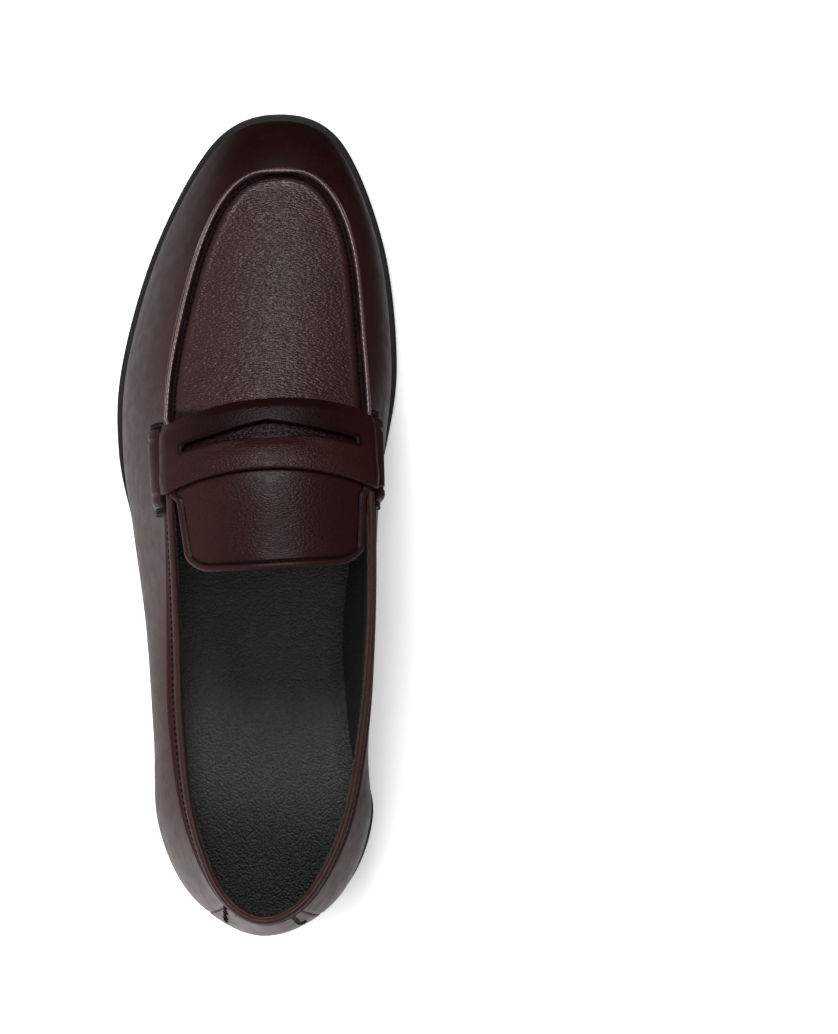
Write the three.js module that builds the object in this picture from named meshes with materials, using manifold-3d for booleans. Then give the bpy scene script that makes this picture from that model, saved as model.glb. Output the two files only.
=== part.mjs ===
// Penny loafer, left shoe. Millimetres, +Z up, +Y towards the toe, +X towards the inner (medial) side.
// The origin is the bottom centre of the shoe's bounding box, on the ground plane.
import * as THREE from 'three';
import { mergeVertices } from 'three/addons/utils/BufferGeometryUtils.js';
import Module from 'manifold-3d';

// ---------------------------------------------------------------- driving dimensions
const HEEL_HEIGHT = 18;       // ground to the underside of the outsole at the heel
const TOE_SPRING = 10;        // how far the outsole's tip curls up off the ground
const OUTSOLE = 5.5;          // thickness of the outsole
const WELT = 3;               // height of the welt, seam gap included
const WELT_WIDTH = 11;        // from the sole's edge inwards
const INSOLE = 2.2;           // thickness of the insole board
const SOCK = 1;               // thickness of the sock liner
const CUSHION = 1.8;          // thickness of the heel cushion
const TOP_PIECE = 5;          // thickness of the rubber heel tip
const LEATHER = 1.3;          // upper leather
const STIFFENER = 1;          // toe puff, heel counter and side reinforcements
const LINING = 0.8;           // all linings
const STRAP = 1.6;            // saddle strap
const STRAP_LIFT = 0.8;       // the strap and its rolls lie this far above the leather below
const ROLL = 2.6;             // extra height of the padded roll at each strap end
const PIPING_WIDTH = 3.2;     // raised seam round the apron
const PIPING_HEIGHT = 2.4;
const GAP = 0.3;              // glue line left between touching layers
const CENTRE = [0.125, -0.495];  // centre of the bounding box in the last's own coordinates

// The last, as 20 stations round the shoe: the first at the back of the heel, on along the outer
// side to the toe tip (the eleventh) and back along the inner side. Each station holds the sole's
// edge x, y; the welt's visible width; the upper edge x, y, z, which is the topline behind the
// strap and the apron seam ahead of it; and the wall's low bulge, high bulge and final rise.
const STATIONS = [
  [4.4, -146.5, 1.0, 5.9, -138.6, 84, 8, 5, 0.4],
  [-21.2, -135.5, 1.2, -9, -129.5, 79.5, 5, 4.5, 0.38],
  [-33.5, -110, 1.2, -19, -105, 70, 5, 8, 0.3],
  [-32.5, -78, 0.3, -23.3, -73, 63, 7.5, 8, 0.2],
  [-36.3, -42, 0.3, -24.6, -38, 65, 6, 9, 0.25],
  [-44.2, -6, 1.4, -26, 2, 77, 4, 9, 0.35],
  [-50.6, 24, 2.8, -27.4, 28, 70, 2, 11, 0.3],
  [-49.3, 57, 3.3, -25.8, 57, 59, 2, 13, 0.25],
  [-36.3, 101, 3.3, -16.8, 96, 50, 2, 12, 0.22],
  [-14.6, 137.9, 3.2, -5.5, 117.5, 44, 2, 10, 0.2],
  [9, 147.4, 3.2, 10.3, 123.5, 41.5, 2, 10, 0.2],
  [31, 138, 3.0, 25.5, 118, 43.5, 2, 9, 0.2],
  [46.6, 101, 2.6, 35.6, 97, 49.5, 2, 8, 0.25],
  [51.6, 58, 2.4, 39.8, 60, 57.5, 2, 8, 0.3],
  [47.8, 27, 1.8, 42, 30, 69, 3, 6, 0.4],
  [39.5, -4, 0.4, 43.5, 2, 77.5, 5, 4.2, 0.42],
  [34.5, -42, 0.3, 43.6, -38, 67.5, 6, 1.5, 0.42],
  [36.5, -78, 0.3, 40.3, -74, 64, 6, 3.7, 0.4],
  [43.1, -108, 1.6, 34, -107, 70, 3, 5, 0.38],
  [31, -136, 1.5, 21.5, -131, 79.5, 4.4, 5, 0.38],
];
const STEPS_ROUND = 80;       // facets round the shoe, four between stations
const RUNGS = 28;             // rungs across the sole, heel to toe
const STEPS_UP = 6;           // facets from the welt to the topline
const NOTCH = 0.25;           // share of the round, from the toe tip, where the tongue's notch is
const WALL_FOOT = 0.02;       // the wall starts this share above the welt
const BINDING = 0.05;         // share of the wall's height that the topline binding takes
const BINDING_END = 19 / 80;   // the binding stops this share of the round from the heel's back
const HEEL_SEAM = 3 / 80;     // heel panel's half width, as a share of the round

// Round positions, as shares of the round, where the inner pieces meet.
const HEEL_LINING_END = 5 / 80;
const COUNTER_END = 11 / 80;
const SIDE_START = 12 / 80;
const SIDE_END = 28 / 80;
const PUFF_START = 29 / 80;

// Saddle strap, tongue and slot. Across the shoe, 0 is the outer seam and 1 the inner seam;
// below 0 and above 1 the position runs down the outer and the inner wall.
const STRAP_REACH = 0.05;     // how far the strap runs down each wall
const ROLL_SPAN = [0.058, 0.19];
const TONGUE_END = 0.29;      // tongue tip, as a share of the round from the toe tip
const TONGUE_CORNER = 0.015;  // round corner, in the same measure
const ROOT_GAP = 0.003;       // the tongue starts this far behind the strap
const APRON_TUCK = 0.008;     // the apron ends this far ahead of the strap's rear edge
const SLOT_SPAN = [0.085, 0.93];
const SLOT_PEAK = 0.5;

// ---------------------------------------------------------------- small vector maths
const add = (p, q, k = 1) => p.map((x, i) => x + k * q[i]);
const scale = (p, k) => p.map((x) => x * k);
const length = (p) => Math.hypot(...p);
const unit = (p) => scale(p, 1 / length(p));
const cross = (p, q) => [
  p[1] * q[2] - p[2] * q[1],
  p[2] * q[0] - p[0] * q[2],
  p[0] * q[1] - p[1] * q[0],
];
const mix = (a, b, t) => a + (b - a) * t;
const clamp = (x, lo, hi) => Math.min(hi, Math.max(lo, x));
const smooth = (t) => clamp(t, 0, 1) ** 2 * (3 - 2 * clamp(t, 0, 1));

// Cubic Bezier through four points, each a list of coordinates.
function bezier(p0, p1, p2, p3, t) {
  const s = 1 - t;
  return p0.map((_, i) => s ** 3 * p0[i] + 3 * s * s * t * p1[i] + 3 * s * t * t * p2[i] + t ** 3 * p3[i]);
}

// ---------------------------------------------------------------- the last
// Closed Catmull-Rom interpolation of some station columns at round position u.
function station(u, first, last) {
  const n = STATIONS.length;
  const t = (((u % 1) + 1) % 1) * n;
  const i = Math.floor(t);
  const f = t - i;
  const row = (k) => STATIONS[(i + k + n) % n];
  const out = [];
  for (let c = first; c <= last; c++) {
    const [a, b, d, e] = [row(-1)[c], row(0)[c], row(1)[c], row(2)[c]];
    out.push(0.5 * (2 * b + (d - a) * f + (2 * a - 5 * b + 4 * d - e) * f * f + (3 * b - a - 3 * d + e) * f ** 3));
  }
  return out;
}

// Height of the outsole's underside: raised at the heel, flat at the ball, curling up at the toe.
function groundLine(y) {
  const toe = Math.max(0, (y - 70) / 79);
  return HEEL_HEIGHT * smooth((20 - y) / 100) + TOE_SPRING * toe * toe;
}

const soleEdge = (u) => station(u, 0, 1);
const upperEdge = (u) => station(u, 3, 5);

function outward(u) {
  const d = add(soleEdge(u + 1e-3), soleEdge(u - 1e-3), -1);
  return unit([-d[1], d[0]]);
}

// Sole edge moved inwards by some millimetres, at a height above the outsole's underside.
function soleInset(u, inset, height) {
  const [x, y] = add(soleEdge(u), outward(u), -inset);
  return [x, y, groundLine(y) + height];
}

const featherEdge = (u) => soleInset(u, station(u, 2, 2)[0], OUTSOLE + WELT);

// Directions of the wall's two Bezier handles: out and up from the welt, out and down from the top.
function wallHandles(u) {
  const foot = featherEdge(u);
  const top = upperEdge(u);
  const [low, high, rise] = station(u, 6, 8);
  const out = [...outward(u), 0];
  const h = top[2] - foot[2];
  return { foot, top, lower: add(scale(out, low), [0, 0, h * 0.33]), upper: add(scale(out, high), [0, 0, -h * rise]) };
}

// Outer face of the wall: v runs from 0 at the welt to 1 at the upper edge.
function wallPoint(u, v) {
  const w = wallHandles(u);
  return bezier(w.foot, add(w.foot, w.lower), add(w.top, w.upper), w.top, v);
}

function wall(u, v, offset) {
  const along = add(wallPoint(u + 1e-3, v), wallPoint(u - 1e-3, v), -1);
  const up = add(wallPoint(u, clamp(v + 0.01, 0, 1)), wallPoint(u, clamp(v - 0.01, 0, 1)), -1);
  return add(wallPoint(u, v), unit(cross(up, along)), offset);
}

// One side's end of a rung across the apron; past the notch it runs straight on along the seam.
function rungEnd(w, side) {
  const inside = Math.min(w, NOTCH);
  const { top, upper } = wallHandles(0.5 + side * inside);
  const back = 0.03;
  const seam = scale(add(upperEdge(0.5 + side * NOTCH), upperEdge(0.5 + side * (NOTCH - back)), -1), 1 / back);
  return { point: add(top, seam, Math.max(0, w - NOTCH)), rise: -unit(upper)[2] };
}

// Outer face of the apron and tongue: w from the toe tip backwards, s from the outer seam to the inner.
function apronPoint(w, s) {
  const l = rungEnd(w, -1);
  const m = rungEnd(w, 1);
  const across = add(m.point, l.point, -1);
  const crown = 0.33 * length(across) * (0.45 + 1.4 * Math.min(w, 1.3 * NOTCH));
  const third = scale([across[0], across[1], 0], 1 / 3);
  const a = add(add(l.point, third), [0, 0, l.rise * crown]);
  const b = add(add(m.point, third, -1), [0, 0, m.rise * crown]);
  return bezier(l.point, a, b, m.point, s);
}

// The whole upper skin: c below 0 is the outer wall, 0 to 1 the apron, above 1 the inner wall.
function skinPoint(w, c) {
  if (c < 0) return wallPoint(0.5 - w, 1 + c);
  if (c > 1) return wallPoint(0.5 + w, 2 - c);
  return apronPoint(w, c);
}

function skin(w, c, offset) {
  const back = add(skinPoint(w + 2e-3, c), skinPoint(w - 2e-3, c), -1);
  const inwards = add(skinPoint(w, c + 0.02), skinPoint(w, c - 0.02), -1);
  return add(skinPoint(w, c), unit(cross(back, inwards)), offset);
}

// ---------------------------------------------------------------- closed meshes
function volume(points, triangles) {
  const v = (i) => points[i];
  return triangles.reduce((sum, [a, b, c]) => {
    const n = cross(v(b), v(c));
    return sum + (v(a)[0] * n[0] + v(a)[1] * n[1] + v(a)[2] * n[2]) / 6;
  }, 0);
}

// Welds equal points, drops collapsed triangles and turns the faces outwards.
function closedGeometry(points, triangles) {
  const g = new THREE.BufferGeometry();
  g.setAttribute('position', new THREE.Float32BufferAttribute(points.flat(), 3));
  const facing = volume(points, triangles) < 0 ? triangles.map(([a, b, c]) => [a, c, b]) : triangles;
  g.setIndex(facing.flat());
  const welded = mergeVertices(g, 1e-3);
  const index = welded.index.array;
  const kept = [];
  for (let i = 0; i < index.length; i += 3) {
    const [a, b, c] = [index[i], index[i + 1], index[i + 2]];
    if (a !== b && b !== c && a !== c) kept.push(a, b, c);
  }
  welded.setIndex(kept);
  return welded;
}

// A layer between two faces over a grid: outer(a, b) and inner(a, b) with a and b from 0 to 1.
function layer(outer, inner, na, nb) {
  const points = [];
  for (const face of [outer, inner]) {
    for (let i = 0; i <= na; i++) {
      for (let j = 0; j <= nb; j++) points.push(face(i / na, j / nb));
    }
  }
  const back = (na + 1) * (nb + 1);
  const at = (i, j) => i * (nb + 1) + j;
  const triangles = [];
  const quad = (p, q, r, s) => triangles.push([p, q, r], [p, r, s]);
  for (let i = 0; i < na; i++) {
    for (let j = 0; j < nb; j++) {
      quad(at(i, j), at(i + 1, j), at(i + 1, j + 1), at(i, j + 1));
      quad(back + at(i, j), back + at(i, j + 1), back + at(i + 1, j + 1), back + at(i + 1, j));
    }
    quad(at(i, 0), back + at(i, 0), back + at(i + 1, 0), at(i + 1, 0));
    quad(at(i, nb), at(i + 1, nb), back + at(i + 1, nb), back + at(i, nb));
  }
  for (let j = 0; j < nb; j++) {
    quad(at(0, j), at(0, j + 1), back + at(0, j + 1), back + at(0, j));
    quad(at(na, j), back + at(na, j), back + at(na, j + 1), at(na, j + 1));
  }
  return closedGeometry(points, triangles);
}

// A section, a list of points, swept through n + 1 positions; a closed sweep is a ring.
function sweep(section, n, closed) {
  const rows = [];
  for (let i = 0; i <= n - (closed ? 1 : 0); i++) rows.push(section(i / n));
  const m = rows[0].length;
  const at = (i, j) => (i % rows.length) * m + (j % m);
  const triangles = [];
  for (let i = 0; i < n; i++) {
    for (let j = 0; j < m; j++) {
      triangles.push([at(i, j), at(i + 1, j), at(i + 1, j + 1)], [at(i, j), at(i + 1, j + 1), at(i, j + 1)]);
    }
  }
  for (let j = 1; !closed && j < m - 1; j++) {
    triangles.push([at(0, 0), at(0, j), at(0, j + 1)], [at(n, 0), at(n, j + 1), at(n, j)]);
  }
  return closedGeometry(rows.flat(), triangles);
}

const wasm = await Module();
wasm.setup();

function solid(geometry) {
  const g = mergeVertices(geometry.index ? geometry : mergeVertices(geometry), 1e-3);
  return new wasm.Manifold(new wasm.Mesh({
    numProp: 3,
    vertProperties: new Float32Array(g.attributes.position.array),
    triVerts: new Uint32Array(g.index.array),
  }));
}

function cut(geometry, ...tools) {
  const mesh = tools.reduce((body, tool) => body.subtract(solid(tool)), solid(geometry)).getMesh();
  const g = new THREE.BufferGeometry();
  g.setAttribute('position', new THREE.Float32BufferAttribute(mesh.vertProperties, 3));
  g.setIndex([...mesh.triVerts]);
  return g;
}

// ---------------------------------------------------------------- sole and heel
// A flat piece of the sole, from the back of the heel (a = 0) forwards along rungs across the shoe.
// inset, bottom and top may depend on the point: bottom and top are heights above the underside.
function soleLayer(inset, bottom, top, from = 0, to = 0.5, steps = RUNGS, across = 1) {
  const face = (height) => (a, b) => {
    const u = mix(from, to, a);
    const l = soleInset(u, inset, 0);
    const m = soleInset(1 - u, inset, 0);
    const [x, y] = [mix(l[0], m[0], b), mix(l[1], m[1], b)];
    return [x, y, groundLine(y) + height(y)];
  };
  return layer(face(top), face(bottom), steps, across);
}

const flat = (height) => () => height;
const SEAT = OUTSOLE + WELT + GAP;                       // underside of the insole board
const SOCK_SEAT = SEAT + INSOLE + GAP;
const cushionRise = (y) => (CUSHION + GAP) * smooth((-45 - y) / 30);

const outsole = () => soleLayer(0, flat(0), flat(OUTSOLE));

function welt() {
  const low = OUTSOLE + GAP;
  const high = OUTSOLE + WELT;
  const section = (t) => [
    soleInset(t, 0.4, low),
    soleInset(t, 0.4, high),
    soleInset(t, WELT_WIDTH, high),
    soleInset(t, WELT_WIDTH, low),
  ];
  return sweep(section, 2 * RUNGS, true);
}

// Steel shank: a narrow strip under the arch, bent to the waist's curve.
const SHANK_SPAN = [-112, 12];
const SHANK_WIDTH = 14;
const SHANK_THICKNESS = 1.4;

function shankStrip(grow) {
  const face = (height) => (a, b) => {
    const y = mix(SHANK_SPAN[0] - grow, SHANK_SPAN[1] + grow, a);
    const x = mix(2, 0, a) + (b - 0.5) * (SHANK_WIDTH + 2 * grow);
    return [x, y, groundLine(y) + height];
  };
  const low = OUTSOLE + GAP + 0.7;
  return layer(face(low + SHANK_THICKNESS + (grow ? 3 : 0)), face(low - grow), 14, 1);
}

const corkFiller = () => cut(
  soleLayer(WELT_WIDTH + GAP, flat(OUTSOLE + GAP), flat(OUTSOLE + WELT - 0.1), 0.5 / RUNGS, 0.5 - 0.5 / RUNGS, RUNGS - 2),
  shankStrip(GAP),
);
const INSOLE_INSET = 7.6;     // clears the linings all round
const insoleBoard = () => soleLayer(INSOLE_INSET, flat(SEAT), flat(SEAT + INSOLE));
const heelCushion = () => soleLayer(
  INSOLE_INSET + 4, flat(SOCK_SEAT), (y) => SOCK_SEAT + 0.4 + Math.max(0, cushionRise(y) - GAP - 0.4), 0, 0.16, 10, 2);
const sockLiner = () => soleLayer(
  INSOLE_INSET, (y) => SOCK_SEAT + cushionRise(y), (y) => SOCK_SEAT + SOCK + cushionRise(y), 0, 0.5, RUNGS, 2);

// Heel: the block under the seat and the rubber tip under it, both with a hollowed front face.
const HEEL_FRONT = 0.146;     // round position of the heel's front corners
const BREAST = 3;             // depth of the hollow in its front face

function heelSlice(insetTop, insetBottom, top, bottom) {
  const face = (inset, height) => (a, b) => {
    const u = HEEL_FRONT * a;
    const l = soleInset(u, inset, 0);
    const m = soleInset(1 - u, inset, 0);
    const y = mix(l[1], m[1], b) - BREAST * a ** 4 * (1 - (2 * b - 1) ** 2);
    return [mix(l[0], m[0], b), y, height(y)];
  };
  return layer(face(insetTop, top), face(insetBottom, bottom), 12, 3);
}

// Nails: a head sunk in the rubber tip and a shank up into the block, turned about its own axis.
const NAIL = { head: 1.9, headHeight: 1, shank: 0.9, length: 13, sunk: 0.8 };
const NAIL_SPOTS = [[-20, -105], [-13, -128], [5, -137], [23, -129], [29, -106]];

function nailShape(grow) {
  const base = NAIL.sunk - (grow ? 2 : 0);
  const neck = NAIL.sunk + NAIL.headHeight + grow;
  const tip = NAIL.sunk + NAIL.length + grow;
  const profile = [
    [0, base], [NAIL.head + grow, base], [NAIL.head + grow, neck],
    [NAIL.shank + grow, neck + 0.3], [NAIL.shank + grow, tip - 2], [0, tip],
  ].map(([r, z]) => new THREE.Vector2(r, z));
  const g = new THREE.LatheGeometry(profile, 8).rotateX(Math.PI / 2);
  g.deleteAttribute('normal');
  g.deleteAttribute('uv');
  return closedFrom(g);
}

// A three.js geometry as a welded closed body.
function closedFrom(g) {
  const p = g.attributes.position;
  const points = Array.from({ length: p.count }, (_, i) => [p.getX(i), p.getY(i), p.getZ(i)]);
  const index = g.index.array;
  const triangles = Array.from({ length: index.length / 3 }, (_, i) => [index[3 * i], index[3 * i + 1], index[3 * i + 2]]);
  return closedGeometry(points, triangles);
}

const nailHoles = () => NAIL_SPOTS.map(([x, y]) => nailShape(0.3).translate(x, y, 0));
const heelBlock = () => cut(
  heelSlice(1.0, 1.5, (y) => groundLine(y) - GAP, flat(TOP_PIECE + GAP)), ...nailHoles());
const heelTopPiece = () => cut(heelSlice(1.5, 1.8, flat(TOP_PIECE), flat(0)), ...nailHoles());

// ---------------------------------------------------------------- upper
// The wall's top: at the apron seam it ends at the edge, behind the notch it leaves room for the binding.
function wallTop(u) {
  const fromHeel = Math.min(u, 1 - u);
  return 1 - BINDING * smooth((NOTCH - fromHeel) * STEPS_ROUND);
}

// A layer of the wall from round position u0 to u1, between two offsets, up to a share of its rows.
function wallLayer(u0, u1, outer, inner, rows = STEPS_UP) {
  const gap = 5e-4;
  const face = (offset) => (a, b) => {
    const u = mix(u0 + gap, u1 - gap, a);
    const v = mix(WALL_FOOT, wallTop((u + 1) % 1), (b * rows) / STEPS_UP);
    return wall(u, v, offset);
  };
  return layer(face(outer), face(inner), Math.round((u1 - u0) * STEPS_ROUND), rows);
}

const STIFF_FACE = -LEATHER - GAP;
const STIFF_BACK = STIFF_FACE - STIFFENER;
const LINING_FACE = STIFF_BACK - GAP;
const LINING_BACK = LINING_FACE - LINING;

const upperWall = () => wallLayer(HEEL_SEAM, 1 - HEEL_SEAM, 0, -LEATHER);
const heelPanel = () => wallLayer(-HEEL_SEAM, HEEL_SEAM, 0, -LEATHER);
const stiffener = (u0, u1, rows) => wallLayer(u0, u1, STIFF_FACE, STIFF_BACK, rows);
const lining = (u0, u1, rows) => wallLayer(u0, u1, LINING_FACE, LINING_BACK, rows);

// The binding folds over the topline from one side of the notch round the heel to the other.
function toplineBinding() {
  const face = (offset) => (a, b) => {
    const u = mix(-BINDING_END, BINDING_END, a);
    return wall(u, mix(wallTop((u + 1) % 1) + 0.008, 1, b), offset);
  };
  return layer(face(0.2), face(LINING_BACK), 2 * BINDING_END * STEPS_ROUND, 1);
}

// Strap edges, as shares of the round from the toe tip, at position c across the shoe.
const bow = (c) => (2 * clamp(c, 0, 1) - 1) ** 2;
const innerLean = (c) => Math.max(0, 2 * clamp(c, 0, 1) - 1);
const strapFront = (c) => 0.1785 + 0.0135 * bow(c) - 0.004 * innerLean(c);
const strapRear = (c) => 0.224 + 0.0155 * bow(c) - 0.003 * innerLean(c);

// A rung of the apron starts and ends a few millimetres off the seams.
function apronLayer(margin, start, end, outer, inner) {
  const face = (offset) => (a, b) => {
    const rough = mix(start, 0.22, a);
    const inset = margin / length(add(rungEnd(rough, 1).point, rungEnd(rough, -1).point, -1));
    const c = mix(inset, 1 - inset, b);
    return skin(mix(start, end(c), a), c, offset);
  };
  return layer(face(outer), face(inner), 12, 8);
}

const apron = () => apronLayer(1.3, 0.03, (c) => strapRear(c) - APRON_TUCK, 0, -LEATHER);
const apronLining = () => apronLayer(3.4, 0.045, (c) => strapRear(c) - APRON_TUCK, LINING_FACE, LINING_BACK);

// Raised seam round the apron: a low arch swept along the seam, with its feet clear of both leathers.
function apronPiping() {
  const reach = 0.186;
  const section = (t) => {
    const u = mix(0.5 - reach, 0.5 + reach, t);
    const p = upperEdge(u);
    const along = unit(add(upperEdge(u + 1e-3), upperEdge(u - 1e-3), -1));
    const skinDown = unit(add(wallPoint(u, 0.95), p, -1));
    const inner = apronPoint(Math.abs(u - 0.5), u < 0.5 ? 0.05 : 0.95);
    const skinIn = unit(add(inner, p, -1));
    const side = Math.abs(u - 0.5) < 0.01 ? unit([0, -1, 0.1]) : skinIn;
    const across = unit(add(side, skinDown, -1));
    const up = unit(cross(along, across));
    const lift = up[2] < 0 ? scale(up, -1) : up;
    const arch = [[-1, 0], [-1, 0.45], [-0.6, 0.85], [0, 1], [0.6, 0.85], [1, 0.45], [1, 0]];
    return arch.map(([x, z]) => add(add(p, across, (x * PIPING_WIDTH) / 2), lift, 0.5 + z * PIPING_HEIGHT));
  };
  return sweep(section, 30, false);
}

// Strap with its slot. e runs from 0 at the front edge to 1 at the rear edge.
const strapPoint = (e, c, offset) => skin(mix(strapFront(c), strapRear(c), e), c, offset);

function slotTool() {
  const peak = (c) => Math.max(0, 1 - Math.abs(c - SLOT_PEAK) / 0.3);
  const upper = (c) => 0.405 - 0.095 * peak(c) ** 1.5;
  const lower = (c) => 0.515 - 0.03 * innerLean(c);
  const face = (offset) => (a, b) => {
    const c = mix(...SLOT_SPAN, b);
    return strapPoint(mix(upper(c), lower(c), a), c, offset);
  };
  return layer(face(STRAP + 3), face(0.2), 1, 16);
}

function saddleStrap() {
  const face = (offset) => (a, b) => strapPoint(a, mix(-STRAP_REACH, 1 + STRAP_REACH, b), offset);
  return cut(layer(face(STRAP_LIFT + STRAP), face(STRAP_LIFT), 4, 20), slotTool());
}

// Padded roll at a strap end: low at its rim, full along its middle.
function strapRoll(inner) {
  const face = (rise) => (a, b) => {
    const reach = mix(...ROLL_SPAN, b);
    const c = inner ? 1 + reach : -reach;
    const w = mix(strapFront(c) + 0.001, strapRear(c) + 0.0075, a);
    const fullness = Math.sin(Math.PI * b) * (0.55 + 0.45 * Math.sin(Math.PI * a));
    return skin(w, c, STRAP_LIFT + rise * (0.9 + ROLL * fullness));
  };
  return layer(face(1), face(0), 5, 4);
}

// Tongue: from just behind the strap to a tip with two round corners.
function tongueLayer(outer, inner, trim) {
  const face = (offset) => (a, b) => {
    const c = mix(mix(0.05, 0.1, a) + trim, mix(0.94, 0.97, a) - trim, b);
    const corner = clamp(Math.max(0.14 - b, b - 0.86) / 0.14, 0, 1);
    const tip = TONGUE_END - 0.006 * b - TONGUE_CORNER * (1 - Math.sqrt(1 - corner * corner));
    return skin(mix(strapRear(c) + ROOT_GAP, tip - trim * 0.1, a), c, offset);
  };
  return layer(face(outer), face(inner), 6, 12);
}

const tongue = () => tongueLayer(0, -LEATHER, 0);
const tongueLining = () => tongueLayer(-LEATHER - GAP, -LEATHER - GAP - LINING, 0.02);

// ---------------------------------------------------------------- assembly
const loafer = new THREE.Group();
loafer.position.set(-CENTRE[0], -CENTRE[1], 0);

function place(name, geometry, colour, roughness, metalness = 0) {
  const mesh = new THREE.Mesh(geometry, new THREE.MeshStandardMaterial({ color: colour, roughness, metalness }));
  mesh.name = name;
  loafer.add(mesh);
  return mesh;
}

const OXBLOOD = 0x3a2426;
const BLACK_RUBBER = 0x2a2b2b;
const BLACK_LINING = 0x1d201f;
const CANVAS = 0xb9ab92;

place('outsole', outsole(), BLACK_RUBBER, 0.7);
place('welt', welt(), 0x2f2c2b, 0.6);
place('cork_filler', corkFiller(), 0x9a7048, 0.95);
place('shank', shankStrip(0), 0x9a9c9e, 0.35, 1);
place('insole_board', insoleBoard(), 0xb4946a, 0.9);
place('heel_cushion', heelCushion(), 0x55534f, 0.95);
place('sock_liner', sockLiner(), BLACK_LINING, 0.7);
place('heel_block', heelBlock(), BLACK_RUBBER, 0.65);
place('heel_top_piece', heelTopPiece(), 0x222323, 0.75);
NAIL_SPOTS.forEach(([x, y], i) => {
  place(`heel_nail_${i + 1}`, nailShape(0), 0x8f8d88, 0.4, 1).position.set(x, y, 0);
});
place('upper_wall', upperWall(), OXBLOOD, 0.42);
place('heel_panel', heelPanel(), OXBLOOD, 0.42);
place('apron', apron(), 0x3d2829, 0.4);
place('apron_piping', apronPiping(), 0x352123, 0.45);
place('saddle_strap', saddleStrap(), 0x43282a, 0.38);
place('strap_roll_outer', strapRoll(false), OXBLOOD, 0.42);
place('strap_roll_inner', strapRoll(true), OXBLOOD, 0.42);
place('tongue', tongue(), 0x45292a, 0.38);
place('tongue_lining', tongueLining(), BLACK_LINING, 0.7);
place('topline_binding', toplineBinding(), 0x4a2f2a, 0.5);
place('heel_counter', stiffener(-COUNTER_END, COUNTER_END, 4), 0xa08a68, 0.9);
place('side_reinforcement_outer', stiffener(SIDE_START, SIDE_END, 5), 0xa98f6c, 0.9);
place('side_reinforcement_inner', stiffener(1 - SIDE_END, 1 - SIDE_START, 5), 0xa98f6c, 0.9);
place('toe_puff', stiffener(PUFF_START, 1 - PUFF_START, 4), CANVAS, 0.9);
place('heel_lining', lining(-HEEL_LINING_END, HEEL_LINING_END, STEPS_UP), BLACK_LINING, 0.8);
place('quarter_lining_outer', lining(HEEL_LINING_END, NOTCH, STEPS_UP), BLACK_LINING, 0.7);
place('quarter_lining_inner', lining(1 - NOTCH, 1 - HEEL_LINING_END, STEPS_UP), BLACK_LINING, 0.7);
place('vamp_lining', lining(NOTCH, 1 - NOTCH, 5), CANVAS, 0.9);
place('apron_lining', apronLining(), CANVAS, 0.9);

export default loafer;
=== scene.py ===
"""Penny loafer, left shoe: the leather upper, linings, sock, welt, sole and heel around the CAD frame."""

import bmesh
import bpy
import numpy as np
from mathutils import Matrix, Vector


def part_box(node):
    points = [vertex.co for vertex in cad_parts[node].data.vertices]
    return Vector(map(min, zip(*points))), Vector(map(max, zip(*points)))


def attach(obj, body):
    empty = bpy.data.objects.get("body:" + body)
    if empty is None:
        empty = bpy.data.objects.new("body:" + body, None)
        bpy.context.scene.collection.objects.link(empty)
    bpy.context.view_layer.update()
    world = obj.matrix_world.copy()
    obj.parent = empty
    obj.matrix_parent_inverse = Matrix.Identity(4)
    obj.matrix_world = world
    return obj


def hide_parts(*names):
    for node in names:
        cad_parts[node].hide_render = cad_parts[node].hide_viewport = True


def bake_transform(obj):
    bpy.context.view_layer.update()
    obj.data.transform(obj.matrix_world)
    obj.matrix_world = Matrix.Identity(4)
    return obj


bl_info = {
    "name": "Penny loafer",
    "version": (1, 0, 0),
    "blender": (4, 5, 0),
    "location": "3D View > Sidebar > Loafer",
    "description": "Builds a leather penny loafer around its packed frame",
    "category": "Object",
}

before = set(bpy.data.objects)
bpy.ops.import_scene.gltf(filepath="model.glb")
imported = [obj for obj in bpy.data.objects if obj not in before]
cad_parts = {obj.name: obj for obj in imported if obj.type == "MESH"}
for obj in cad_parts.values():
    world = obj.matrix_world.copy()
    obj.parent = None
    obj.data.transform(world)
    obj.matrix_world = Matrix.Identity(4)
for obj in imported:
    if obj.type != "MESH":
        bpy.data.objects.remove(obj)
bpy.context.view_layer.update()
MM = 0.001
SHOE = "shoe"

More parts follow.
